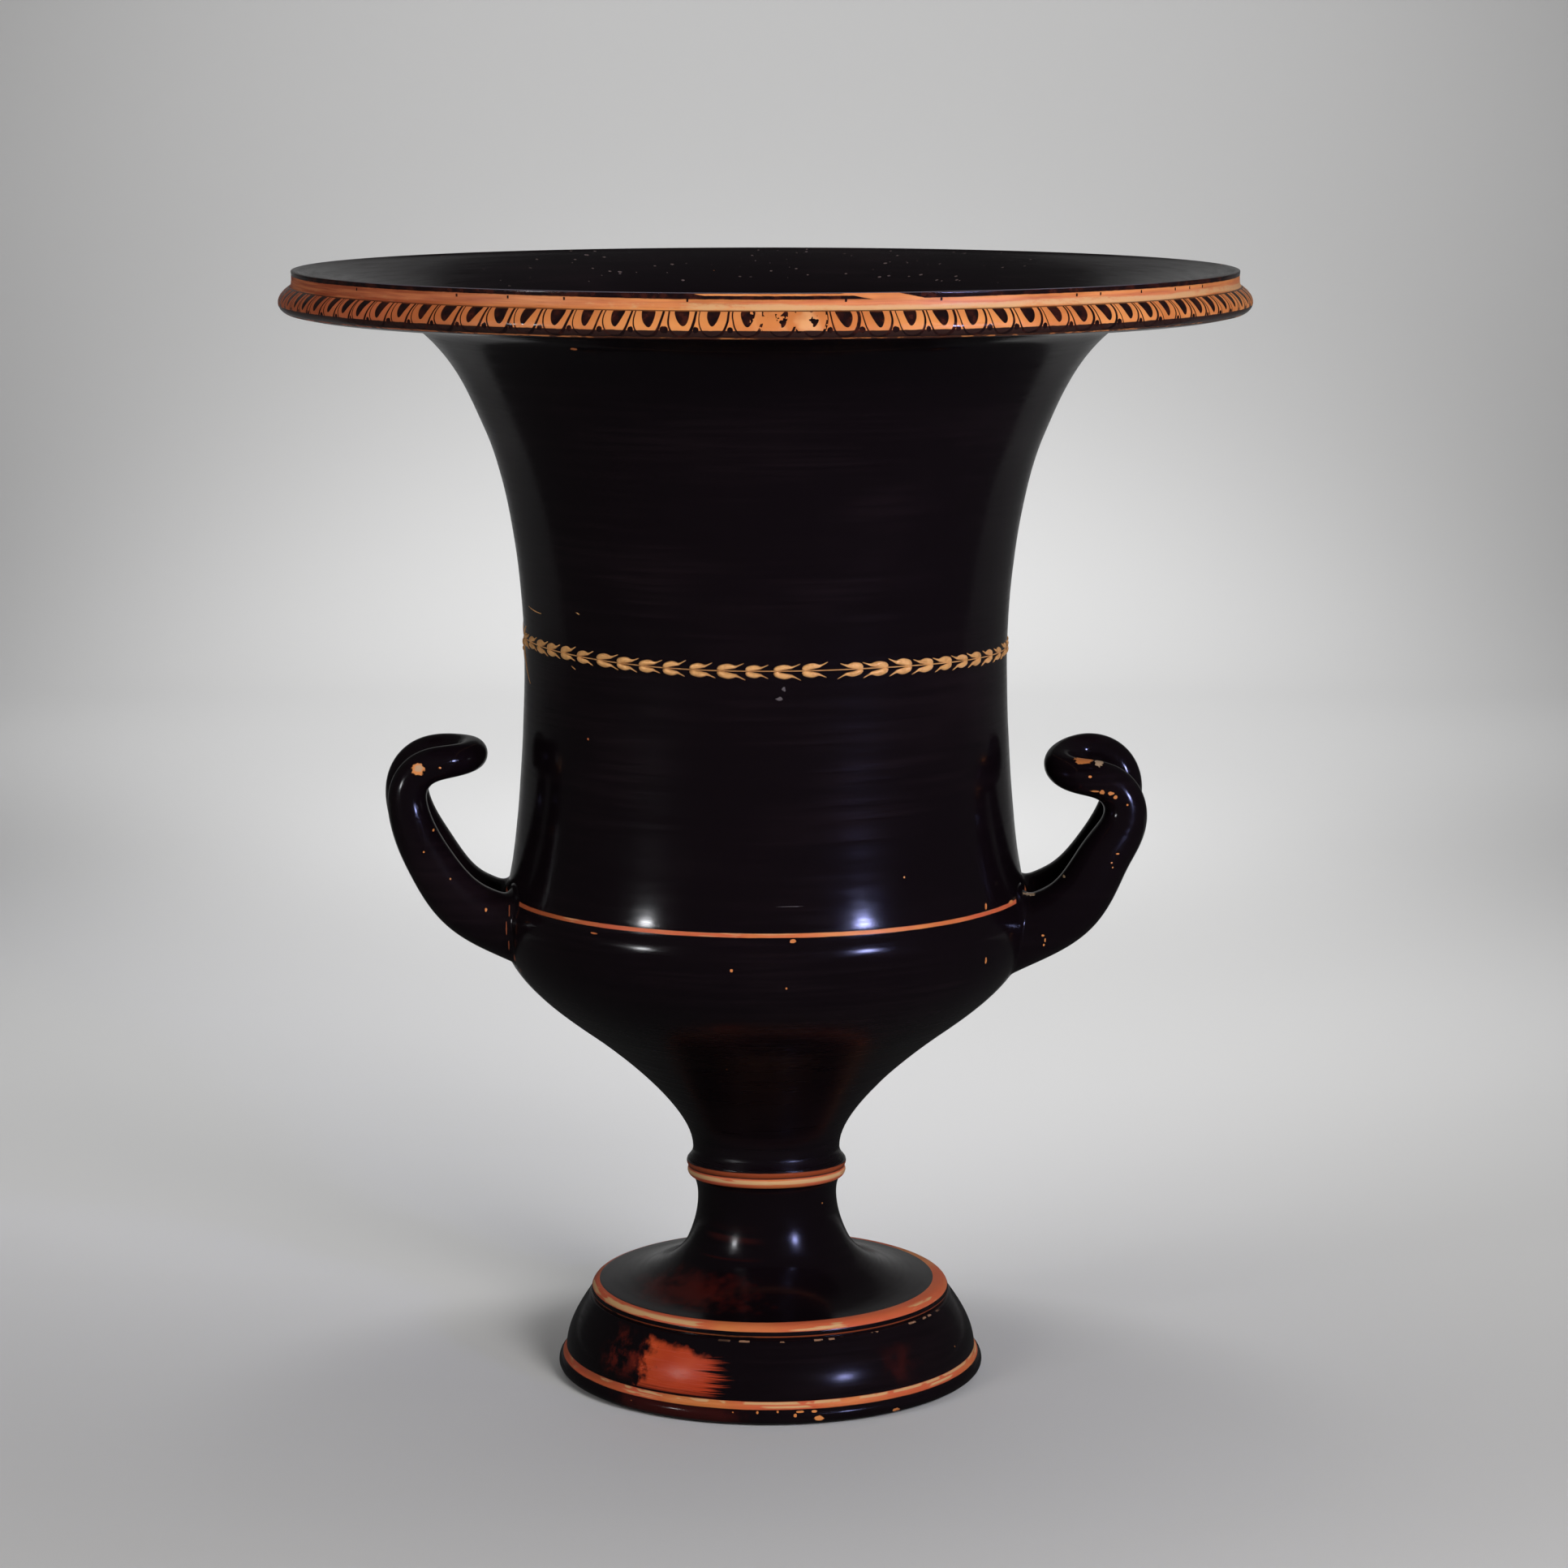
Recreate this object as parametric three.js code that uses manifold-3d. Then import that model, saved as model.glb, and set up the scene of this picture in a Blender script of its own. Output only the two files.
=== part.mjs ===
// A calyx krater of fired clay: a bell-mouthed mixing bowl on a moulded foot, with two upturned
// loop handles. Millimetres, +Z up. The origin is the centre of the ring it stands on, and the
// handles lie towards +X and -X, both a little forward of the diameter.
import * as THREE from "three";
import { mergeVertices } from "three/addons/utils/BufferGeometryUtils.js";
import Module from "manifold-3d";

const wasm = await Module();
wasm.setup();

// Driving heights above the ground.
const HEIGHT = 560.5;
const LIP_UNDERSIDE = 540;
const WALL_WAIST = 368;
const SHOULDER_LINE = 249.3;
const STEM_TOP = 115.5;
const STEM_WAIST = 91;
const DISH_EDGE = 46.8;

// Driving radii.
const LIP_RADIUS = 239.6;
const MOUTH_RADIUS = 233.4;
const WAIST_RADIUS = 120.5;
const SHOULDER_RADIUS = 134.6;
const LINE_RADIUS = 130.8;
const NECK_RADIUS = 37.3;
const STEM_RADIUS = 35.3;
const STEM_RING_RADIUS = 40.6;
const DISH_RADIUS = 85.1;
const FOOT_RADIUS = 108.4;
const STANDING_RADIUS = 101.5;

// Thickness of the clay, and the hollow under the foot.
const WALL = 7.5;
const FLOOR_TOP = 132;
const STANDING_RING_WIDTH = 13;
const HOLLOW_TOP = 78;

// Handles: radii from the pot's axis, heights, and the clay rod's own radius along the way.
const HANDLE_REACH = 180;
const HANDLE_RISE = 300.5;
const HANDLE_TIP_RADIUS = 147.5;
const ROOT = { r: 112, z: 225, spread: 22, rod: 18.5 };
const KNEE = { r: 152.5, z: 244.5, spread: 23.5, rod: 15.2 };
const ARM = { r: 171, z: 272.5, spread: 21, rod: 12.8 };
const ROD_AT_RISE = 10.6;
const ROD_AT_HOOK = 9.3;
const ROD_AT_TIP = 7.9;
const TIP_SPREAD = 17.5;
const HOOK_RADIUS = 17.5;
const BACK_ARM_SHARE = 0.9;
const BACK_ROOT_LIFT = 3;

// The two handles were pulled by hand, so each sits, leans and drops in its own way.
const RIGHT_HANDLE = { angleDeg: -2, lean: 4.5, drop: 4.5 };
const LEFT_HANDLE = { angleDeg: 185, lean: 0, drop: 0 };

// Fineness of the mesh.
const TURNS = 48;
const ROD_SIDES = 10;
const ROD_STEPS = 36;

const BLACK_GLOSS = new THREE.MeshStandardMaterial({
  color: 0x120c12,
  roughness: 0.28,
  metalness: 0,
});

// One smooth stretch of a profile, from where the path is to (r, z), pulled by two handles.
function sweep(path, pull, push, end) {
  path.bezierCurveTo(pull[0], pull[1], push[0], push[1], end[0], end[1]);
}

// Points of a profile: straight stretches give their ends, curved ones the number asked for.
function profilePoints(stretches) {
  const points = [];
  for (const [path, count] of stretches) {
    for (const p of path.getPoints(count)) {
      const last = points.at(-1);
      if (!last || last.distanceTo(p) > 0.01) points.push(p);
    }
  }
  return points;
}

function pathFrom(r, z) {
  return new THREE.Path().moveTo(r, z);
}

// The foot: a rounded bead at the ground, the main swelling, a fine groove and a ring above it.
function footStretches() {
  const notch = FOOT_RADIUS - 3.8;
  const base = pathFrom(0, 0);
  base.lineTo(STANDING_RADIUS, 0);
  const bead = pathFrom(STANDING_RADIUS, 0);
  sweep(bead, [FOOT_RADIUS - 3.4, 0.6], [FOOT_RADIUS, 1.8], [FOOT_RADIUS, 4.4]);
  const round = pathFrom(FOOT_RADIUS, 4.4);
  sweep(round, [FOOT_RADIUS, 7.2], [FOOT_RADIUS - 1.6, 8.6], [notch + 0.4, 9.6]);
  round.lineTo(notch, 10.6);
  const swelling = pathFrom(notch, 10.6);
  sweep(swelling, [notch, 20.5], [99.6, 29], [91.9, 39.4]);
  const ring = pathFrom(91.9, 39.4);
  ring.lineTo(90.6, 40.1);
  ring.lineTo(91.2, 42.2);
  sweep(ring, [90.8, 45.2], [88.4, 46.6], [DISH_RADIUS, DISH_EDGE]);
  return [[base, 1], [bead, 2], [round, 2], [swelling, 4], [ring, 2]];
}

// The dish above the step, and the stem with its moulded ring.
function stemStretches() {
  const dish = pathFrom(DISH_RADIUS, DISH_EDGE);
  sweep(dish, [60, 48.5], [45.4, 58], [40.9, 68]);
  sweep(dish, [37, 76.5], [STEM_RADIUS, 84], [STEM_RADIUS, STEM_WAIST]);
  const flare = pathFrom(STEM_RADIUS, STEM_WAIST);
  flare.quadraticCurveTo(STEM_RADIUS, 96, 37.2, 100);
  const ring = pathFrom(37.2, 100);
  ring.lineTo(39.3, 101.2);
  ring.lineTo(STEM_RING_RADIUS - 0.3, 103.2);
  ring.lineTo(39.4, 105.7);
  ring.lineTo(STEM_RING_RADIUS, 107.6);
  ring.lineTo(STEM_RING_RADIUS - 0.6, 110);
  ring.lineTo(38, 112.2);
  ring.lineTo(NECK_RADIUS, STEM_TOP);
  return [[dish, 4], [flare, 2], [ring, 1]];
}

// The bowl: the deep lower swelling up to the shoulder line, then the tall concave wall.
function bowlStretches() {
  const cul = pathFrom(NECK_RADIUS, STEM_TOP);
  sweep(cul, [NECK_RADIUS, 135.9], [72.9, 165.4], [92.9, 180]);
  const swell = pathFrom(92.9, 180);
  sweep(swell, [119, 199], [SHOULDER_RADIUS, 214], [SHOULDER_RADIUS, 236]);
  const shoulder = pathFrom(SHOULDER_RADIUS, 236);
  shoulder.quadraticCurveTo(SHOULDER_RADIUS, 244, LINE_RADIUS, SHOULDER_LINE - 0.9);
  shoulder.lineTo(LINE_RADIUS, SHOULDER_LINE + 0.9);
  const wall = pathFrom(LINE_RADIUS, SHOULDER_LINE + 0.9);
  sweep(wall, [124, 284], [WAIST_RADIUS, 332], [WAIST_RADIUS, WALL_WAIST]);
  sweep(wall, [WAIST_RADIUS, 408], [127.6, 455], [138.4, 480]);
  const bell = pathFrom(138.4, 480);
  sweep(bell, [146.4, 498.5], [152.7, 514.7], [169, 529.4]);
  sweep(bell, [180, 539.3], [205, 538.6], [230, 538.8]);
  return [[cul, 4], [swell, 3], [shoulder, 2], [wall, 3], [bell, 3]];
}

// The lip: a round egg-moulding under a slightly hollow fillet, then the mouth's top edge.
function lipStretches() {
  const moulding = pathFrom(230, 538.8);
  moulding.lineTo(LIP_RADIUS - 3.8, LIP_UNDERSIDE);
  sweep(moulding, [LIP_RADIUS + 1.3, 542.2], [LIP_RADIUS + 1.7, 547.8], [LIP_RADIUS - 5, 552.3]);
  const fillet = pathFrom(234.6, 552.3);
  fillet.lineTo(233.5, 553);
  fillet.lineTo(232.9, 556.5);
  fillet.lineTo(MOUTH_RADIUS, HEIGHT - 0.4);
  fillet.lineTo(MOUTH_RADIUS - 1.2, HEIGHT);
  fillet.lineTo(0, HEIGHT);
  return [[moulding, 4], [fillet, 1]];
}

// The space inside: the broad sloping lip, the bell, the wall and the rounded floor.
function cavityStretches() {
  const wide = SHOULDER_RADIUS - WALL;
  const waist = WAIST_RADIUS - WALL;
  const floor = pathFrom(0, FLOOR_TOP);
  sweep(floor, [24, FLOOR_TOP + 1], [44, 157], [85.5, 184]);
  sweep(floor, [112, 202], [wide, 216], [wide, 236]);
  const wall = pathFrom(wide, 236);
  sweep(wall, [wide - 2, 262], [waist, 320], [waist, WALL_WAIST]);
  sweep(wall, [waist, 408], [120.4, 456], [131.2, 483]);
  const bell = pathFrom(131.2, 483);
  sweep(bell, [142, 508], [152, 528], [176, 541]);
  const brim = pathFrom(176, 541);
  sweep(brim, [192, 549], [212, 555.6], [MOUTH_RADIUS - 4, HEIGHT - 0.9]);
  brim.lineTo(MOUTH_RADIUS - 2, HEIGHT + 0.2);
  brim.lineTo(MOUTH_RADIUS - 2, HEIGHT + 5);
  brim.lineTo(0, HEIGHT + 5);
  return [[floor, 3], [wall, 2], [bell, 2], [brim, 2]];
}

// The hollow under the foot, which runs up into the stem and leaves a flat standing ring.
function hollowStretches() {
  const rim = STANDING_RADIUS - STANDING_RING_WIDTH;
  const under = pathFrom(0, -5);
  under.lineTo(rim, -5);
  under.lineTo(rim, 0);
  const dome = pathFrom(rim, 0);
  sweep(dome, [88, 22], [84, 36], [66, 40]);
  sweep(dome, [36, 46], [26, 62], [0, HOLLOW_TOP]);
  return [[under, 1], [dome, 3]];
}

// A closed geometry, with any triangle that has shrunk to a line left out, as a solid.
function solidOf(geometry) {
  const bare = geometry.clone();
  bare.deleteAttribute("normal");
  bare.deleteAttribute("uv");
  const merged = mergeVertices(bare, 1e-3);
  const corners = merged.index.array;
  const kept = [];
  for (let i = 0; i < corners.length; i += 3) {
    const [a, b, c] = corners.subarray(i, i + 3);
    if (a !== b && b !== c && c !== a) kept.push(a, b, c);
  }
  return new wasm.Manifold(
    new wasm.Mesh({
      numProp: 3,
      vertProperties: merged.attributes.position.array,
      triVerts: new Uint32Array(kept),
    }),
  );
}

// A profile of (radius, height) points turned on the wheel about the Z axis.
function turned(stretches) {
  const geometry = new THREE.LatheGeometry(profilePoints(stretches), TURNS);
  return solidOf(geometry.rotateX(Math.PI / 2));
}

// Stations along one handle in its own frame, x outward, y sideways, z up, each with the rod's
// radius there: up the front arm, round the hook and the tip, and down the back arm.
function handleStations({ lean, drop }) {
  const arm = [ROOT, KNEE, ARM].map(({ r, spread, z, rod }) => ({ x: r, y: -spread, z, rod }));
  const between = (ARM.z + HANDLE_RISE) / 2 + 1.5;
  const rodThere = (ARM.rod + ROD_AT_RISE) / 2;
  arm.push({ x: HANDLE_REACH - 2.2, y: -TIP_SPREAD - 1, z: between, rod: rodThere });
  for (const deg of [0, 30, 60, 90]) {
    const a = THREE.MathUtils.degToRad(deg);
    arm.push({
      x: HANDLE_REACH - HOOK_RADIUS * (1 - Math.cos(a)),
      y: -TIP_SPREAD,
      z: HANDLE_RISE + HOOK_RADIUS * Math.sin(a),
      rod: THREE.MathUtils.lerp(ROD_AT_RISE, ROD_AT_HOOK, deg / 90),
    });
  }
  for (const deg of [30, 60, 90]) {
    const a = THREE.MathUtils.degToRad(deg);
    arm.push({
      x: HANDLE_TIP_RADIUS + TIP_SPREAD * (1 - Math.sin(a)),
      y: -TIP_SPREAD * Math.cos(a),
      z: HANDLE_RISE + HOOK_RADIUS,
      rod: THREE.MathUtils.lerp(ROD_AT_HOOK, ROD_AT_TIP, deg / 90),
    });
  }
  const back = arm.slice(0, -1).reverse();
  const backArm = back.map(({ x, y, z, rod }) => ({ x, y: -y, z, rod: rod * BACK_ARM_SHARE }));
  return [...arm, ...backArm].map(({ x, y, z, rod }) => {
    const share = THREE.MathUtils.clamp((z - ARM.z) / (HANDLE_RISE - ARM.z), 0, 1);
    const low = THREE.MathUtils.clamp((ARM.z - z) / (ARM.z - KNEE.z), 0, 1);
    const lift = share * ((lean * y) / TIP_SPREAD - drop) + (y > 0 ? low * BACK_ROOT_LIFT : 0);
    return { x, y, z: z + lift, rod };
  });
}

// A round rod through the stations, closed at both ends.
function rodThrough(stations) {
  const points = stations.map(({ x, y, z }) => new THREE.Vector3(x, y, z));
  const curve = new THREE.CatmullRomCurve3(points, false, "centripetal");
  const frames = curve.computeFrenetFrames(ROD_STEPS, false);
  const positions = [];
  const corners = [];
  for (let i = 0; i <= ROD_STEPS; i += 1) {
    const centre = curve.getPointAt(i / ROD_STEPS);
    const place = curve.getUtoTmapping(i / ROD_STEPS) * (stations.length - 1);
    const before = Math.min(Math.floor(place), stations.length - 2);
    const [from, to] = [stations[before].rod, stations[before + 1].rod];
    const radius = THREE.MathUtils.lerp(from, to, place - before);
    for (let j = 0; j < ROD_SIDES; j += 1) {
      const a = (2 * Math.PI * j) / ROD_SIDES;
      const out = frames.normals[i].clone().multiplyScalar(Math.cos(a) * radius);
      out.addScaledVector(frames.binormals[i], Math.sin(a) * radius).add(centre);
      positions.push(out.x, out.y, out.z);
    }
  }
  for (let i = 0; i < ROD_STEPS; i += 1) {
    for (let j = 0; j < ROD_SIDES; j += 1) {
      const a = i * ROD_SIDES + j;
      const b = i * ROD_SIDES + ((j + 1) % ROD_SIDES);
      corners.push(a, b, b + ROD_SIDES, a, b + ROD_SIDES, a + ROD_SIDES);
    }
  }
  const end = ROD_STEPS * ROD_SIDES;
  for (let j = 1; j < ROD_SIDES - 1; j += 1) {
    corners.push(0, j + 1, j, end, end + j, end + j + 1);
  }
  const geometry = new THREE.BufferGeometry();
  geometry.setAttribute("position", new THREE.Float32BufferAttribute(positions, 3));
  return geometry.setIndex(corners);
}

// One handle, turned about the pot's axis to where it grows from the bowl.
function handle(side) {
  const rod = rodThrough(handleStations(side));
  return solidOf(rod.rotateZ(THREE.MathUtils.degToRad(side.angleDeg)));
}

function pot() {
  const outside = [
    ...footStretches(),
    ...stemStretches(),
    ...bowlStretches(),
    ...lipStretches(),
  ];
  return turned(outside)
    .add(handle(RIGHT_HANDLE))
    .add(handle(LEFT_HANDLE))
    .subtract(turned(cavityStretches()))
    .subtract(turned(hollowStretches()));
}

function meshOf(name, solid, material) {
  const { numProp, vertProperties, triVerts } = solid.getMesh();
  const data = new THREE.InterleavedBuffer(vertProperties, numProp);
  const geometry = new THREE.BufferGeometry();
  geometry.setAttribute("position", new THREE.InterleavedBufferAttribute(data, 3, 0));
  geometry.setIndex(new THREE.BufferAttribute(triVerts, 1));
  const mesh = new THREE.Mesh(geometry.toNonIndexed(), material);
  mesh.geometry.computeVertexNormals();
  mesh.name = name;
  return mesh;
}

const krater = new THREE.Group();
krater.add(meshOf("krater", pot(), BLACK_GLOSS));

export default krater;
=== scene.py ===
"""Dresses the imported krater: glazed body, pulled handles, gilded wreath, studio."""

import math
import random

import bpy
import numpy as np
from bpy.props import FloatProperty, FloatVectorProperty, IntProperty, PointerProperty
from bpy.types import Operator, Panel, PropertyGroup
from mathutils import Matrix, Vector


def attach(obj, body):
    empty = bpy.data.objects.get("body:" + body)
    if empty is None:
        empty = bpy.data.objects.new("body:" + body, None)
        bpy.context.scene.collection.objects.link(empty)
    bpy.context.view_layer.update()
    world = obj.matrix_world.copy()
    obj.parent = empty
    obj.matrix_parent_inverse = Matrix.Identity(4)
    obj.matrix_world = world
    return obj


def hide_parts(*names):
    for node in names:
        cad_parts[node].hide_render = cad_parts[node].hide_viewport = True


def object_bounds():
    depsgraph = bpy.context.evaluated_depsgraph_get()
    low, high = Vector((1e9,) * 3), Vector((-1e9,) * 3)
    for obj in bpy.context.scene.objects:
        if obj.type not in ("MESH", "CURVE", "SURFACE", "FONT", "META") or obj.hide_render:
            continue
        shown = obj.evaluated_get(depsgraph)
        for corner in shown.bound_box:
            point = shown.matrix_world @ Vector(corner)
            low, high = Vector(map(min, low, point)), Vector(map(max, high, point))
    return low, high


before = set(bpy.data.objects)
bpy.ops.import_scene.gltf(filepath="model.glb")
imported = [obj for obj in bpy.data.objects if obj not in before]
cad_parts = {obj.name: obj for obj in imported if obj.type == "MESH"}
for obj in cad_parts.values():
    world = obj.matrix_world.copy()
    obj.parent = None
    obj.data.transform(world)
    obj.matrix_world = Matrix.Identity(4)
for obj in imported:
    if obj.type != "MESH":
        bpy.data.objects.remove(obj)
CAD_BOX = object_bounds()

bl_info = {
    "name": "Greek krater",
    "version": (1, 0, 0),
    "blender": (4, 5, 0),
    "location": "View3D > Sidebar > Krater",
    "description": "Builds a black gloss mixing bowl with painted lip and gilded wreath",
    "category": "Add Mesh",
}

BODY = "root"
CAD_NODE = "krater"
MM = 0.001
TAU = 2 * math.pi

# Heights on the thrown body, in millimetres.
SHOULDER_LINE = 249.3
GROOVE = 552.3
# The ring on the stem tips up at the front, and the foot stands to the right, by this much.
COLLAR_TIP = 2.2
FOOT_SWAY = 2.1
# How far under the CAD's widest radius the lip stays.
LIP_CLEARANCE = 0.02
# Rings past the standing edge that stay unglazed.
BARE_RINGS = 4


class Profile:
    """A half section drawn from the axis outwards, in millimetres."""

    CREASE = 0.25

    def __init__(self, start):
        self.points = [np.array(start, float)]
        self.spacing = 3.0
        self.standing_edge = 0

    def pitch(self, spacing):
        self.spacing = spacing
        return self

    def stand(self):
        """The foot stands on the last point so far."""
        self.standing_edge = len(self.points) - 1
        return self

    def line(self, end):
        """A straight run, with a point close to each end to keep the arris crisp."""
        start, end = self.points[-1], np.array(end, float)
        length = np.linalg.norm(end - start)
        shares = [self.CREASE / length, 1 - self.CREASE / length] if length > 1 else []
        count = int(length / self.spacing)
        shares += [i / count for i in range(1, count)]
        for share in sorted(shares) + [1.0]:
            self.points.append(start + (end - start) * share)
        return self

    def bend(self, near, far, end):
        """A cubic curve to end, pulled by two guide points."""
        a, b, c, d = self.points[-1], *(np.array(p, float) for p in (near, far, end))
        count = max(4, int(np.linalg.norm(d - a) * 1.1 / self.spacing))
        for t in np.linspace(0, 1, count + 1)[1:]:
            u = 1 - t
            self.points.append(u**3 * a + 3 * u * u * t * b + 3 * u * t * t * c + t**3 * d)
        return self


def krater_profile():
    """The closed half section: under the foot, up the outside, over the lip, down inside."""
    p = Profile((0, 78))
    p.pitch(9).bend((26, 62), (36, 46), (66, 40)).bend((84, 36), (88, 22), (88.5, 0))
    p.stand().pitch(2).line((101.5, 0))
    p.pitch(1.0).bend((105, 0.6), (108.4, 1.8), (108.4, 4.4))
    p.pitch(0.7).bend((108.4, 7.2), (106.8, 8.6), (105.0, 9.6)).line((104.6, 10.6))
    p.pitch(2.2).bend((104.6, 20.5), (99.6, 29), (92.7, 38.8)).pitch(0.25)
    p.bend((92.3, 39.5), (91.7, 39.7), (90.8, 39.8)).line((90.5, 40.3)).pitch(0.8)
    p.bend((91.3, 40.6), (91.4, 41.6), (91.2, 42.2)).bend((90.8, 45.2), (88.4, 46.6), (85.1, 46.8))
    p.pitch(3.2).bend((60, 48.5), (45.4, 58), (40.9, 68)).bend((37, 76.5), (35.3, 84), (35.3, 91))
    p.pitch(1.2).bend((35.3, 95), (36.2, 98), (37.2, 100)).pitch(0.75)
    p.bend((38.2, 100), (39.9, 101.0), (40.3, 103.2)).bend((40.3, 104.4), (40, 105.2), (39.4, 105.7))
    p.bend((39.9, 106), (40.5, 106.7), (40.6, 107.6)).bend((40.6, 108.6), (40.5, 109.4), (40, 110))
    p.bend((39, 111.2), (37.3, 112.8), (37.3, 115.5)).pitch(4.2)
    p.bend((37.3, 135.9), (72.9, 165.4), (92.9, 180)).bend((119, 199), (134.6, 214), (134.6, 236))
    p.pitch(1.4).bend((134.6, 244), (131.6, 246.4), (130.8, 250.2)).pitch(1.8)
    p.bend((129.55, 253.6), (128.4, 259.5), (127.3, 266)).pitch(6.5)
    p.bend((124, 286), (120.5, 334), (120.5, 368)).bend((120.5, 408), (127.6, 455), (138.4, 480))
    p.pitch(3.2).bend((146.4, 498.5), (152.7, 514.7), (169, 529.4))
    p.bend((180, 539.3), (205, 538.6), (230, 538.8)).pitch(0.8).line((235.8, 540))
    p.bend((240.9, 542.2), (241.3, 547.8), (234.6, GROOVE)).line((233.5, 553))
    p.bend((232.9, 554.5), (232.8, 558), (233.2, 559.9))
    p.bend((233.2, 560.3), (232.8, 560.5), (232.2, 560.5)).pitch(3.8).line((229.4, 559.6))
    p.bend((212, 555.6), (192, 549), (176, 541)).bend((152, 528), (142, 508), (131.2, 483)).pitch(10)
    p.bend((120.4, 456), (113, 408), (113, 368)).bend((113, 320), (125.1, 262), (127.1, 236))
    p.bend((127.1, 216), (112, 202), (85.5, 184)).bend((44, 157), (24, 133), (0, 132))
    return np.array(p.points), p.standing_edge


def smooth_share(x, low, high):
    t = np.clip((x - low) / (high - low), 0, 1)
    return t * t * (3 - 2 * t)


def throwing_ripple(angle, z):
    """How far the potter's hand leaves the wall out of true, in millimetres."""
    fade = smooth_share(z, 120, 170) * (1 - smooth_share(z, 515, 535))
    quiet = 1 - 0.85 * np.exp(-((z - SHOULDER_LINE) / 9) ** 2)
    turns = (
        0.012 * np.sin(TAU * z / 12.7 + angle + 1.3)
        + 0.035 * np.sin(TAU * z / 31.0 - angle + 0.4)
        + 0.16 * np.sin(2 * angle + 0.7 + z / 90)
        + 0.10 * np.sin(3 * angle + 2.1 - z / 140)
    )
    return turns * fade * quiet


class Wall:
    """The outside of the bowl as a radius for each height, in millimetres."""

    STEM_TOP, LIP_FOOT = 116, 530

    def __init__(self):
        points, _ = krater_profile()
        rising = points[(points[:, 1] > self.STEM_TOP) & (points[:, 1] < self.LIP_FOOT)]
        top = np.argmax(rising[:, 1])
        self.r, self.z = rising[: top + 1].T

    def radius(self, z, angle=0.0):
        return np.interp(z, self.z, self.r) + throwing_ripple(angle, z)

    def slope(self, z):
        """How much the radius grows in one millimetre of height."""
        return self.radius(z + 0.5) - self.radius(z - 0.5)

    def place(self, angle, z, lift=0.0):
        """The point lift above the wall, with angle 0 facing the front and growing to the right."""
        r, k = self.radius(z, angle), self.slope(z)
        run = math.hypot(1, k)
        r, z = r + lift / run, z - lift * k / run
        return np.array([r * math.sin(angle), -r * math.cos(angle), z])

    def gaps(self, points):
        """How far each point stands off the wall, negative inside it."""
        x, y, z = points.T
        run = np.hypot(1, self.slope(z))
        return (np.hypot(x, y) - self.radius(z, np.arctan2(x, -y))) / run


def mesh_object(name, vertices, faces, materials, face_material=None):
    """A smooth shaded mesh in metres from points in millimetres."""
    mesh = bpy.data.meshes.new(name)
    mesh.from_pydata([tuple(v) for v in np.asarray(vertices) * MM], [], faces)
    for material in materials:
        mesh.materials.append(material)
    if face_material is not None:
        mesh.polygons.foreach_set("material_index", face_material)
    mesh.polygons.foreach_set("use_smooth", [True] * len(mesh.polygons))
    mesh.validate()
    mesh.update()
    obj = bpy.data.objects.new(name, mesh)
    bpy.context.scene.collection.objects.link(obj)
    return obj


def declare(obj):
    """Hangs a piece of the fired clay krater on the one body, and hides the imported CAD part."""
    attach(obj, BODY)
    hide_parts(CAD_NODE)


def ring_faces(first, second, count):
    """Quads between two rings of vertices."""
    return [
        (first + i, first + (i + 1) % count, second + (i + 1) % count, second + i)
        for i in range(count)
    ]


def foot_shift(z):
    """The foot and stem stand a little to the right of the bowl, which fades out upwards."""
    return FOOT_SWAY * (1 - smooth_share(z, 20, 120))


def body_mesh(turns):
    """The turned body, closed at the axis above and under the floor, and its unglazed faces."""
    points, standing_edge = krater_profile()
    rings = points[1:-1]
    angle = np.linspace(0, TAU, turns, endpoint=False)
    widest = CAD_BOX[1][0] / MM - LIP_CLEARANCE
    vertices = []
    for index, (r, z) in enumerate(rings):
        radius = np.minimum(r + throwing_ripple(angle, z) * (r > 60), widest)
        tip = COLLAR_TIP * smooth_share(z, 82, 100) * (1 - smooth_share(z, 112, 140)) * (r > 30)
        height = z + tip * np.cos(angle) * (index > standing_edge)
        x, y = radius * np.sin(angle) + foot_shift(z), -radius * np.cos(angle)
        vertices.append(np.stack([x, y, height], 1))
    vertices.append(np.array([[foot_shift(z), 0, z] for z in (points[0][1], points[-1][1])]))
    faces, bare = [], []
    for ring in range(len(rings) - 1):
        faces += ring_faces(ring * turns, (ring + 1) * turns, turns)
        bare += [int(ring + 1 < standing_edge + BARE_RINGS)] * turns
    hub = len(rings) * turns
    last = hub - turns
    faces += [(hub, (i + 1) % turns, i) for i in range(turns)]
    faces += [(hub + 1, last + i, last + (i + 1) % turns) for i in range(turns)]
    bare += [1] * turns + [0] * turns
    return np.concatenate(vertices), faces, bare


# Handle stations, in millimetres: distance from the axis, spread of the two arms,
# height and rod radius.
HANDLE_ARM = ((112, 22, 225, 18.5), (152.5, 23.5, 244.5, 15.2), (171, 21, 272.5, 12.8))
HANDLE_REACH = 180.0
HANDLE_RISE = 300.5
HANDLE_TIP = 147.5
TIP_SPREAD = 17.5
HOOK = 17.5
ROD_RISE, ROD_HOOK, ROD_TIP = 10.6, 9.3, 7.9
# The back arm is thinner by this share, and its root sits higher by this many millimetres.
BACK_ARM = 0.9
BACK_ROOT_LIFT = 3.0
# Facets round the rod and steps along it.
ROD_FACETS = 56
ROD_STEPS = 420
# Lengths over which kinks in the rod's path and thickness are smoothed, in millimetres.
PATH_SOFTNESS, ROD_SOFTNESS = 6.0, 10.0
# Rows of the skin in a root's fillet, from root to middle, and along the middle.
FILLET_ROWS = 9
ROOT_ROWS = 26
MIDDLE_ROWS = 150
# The share of the rod's length at either end that shifts with its root.
ROOT_SHARE = 0.215


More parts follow.
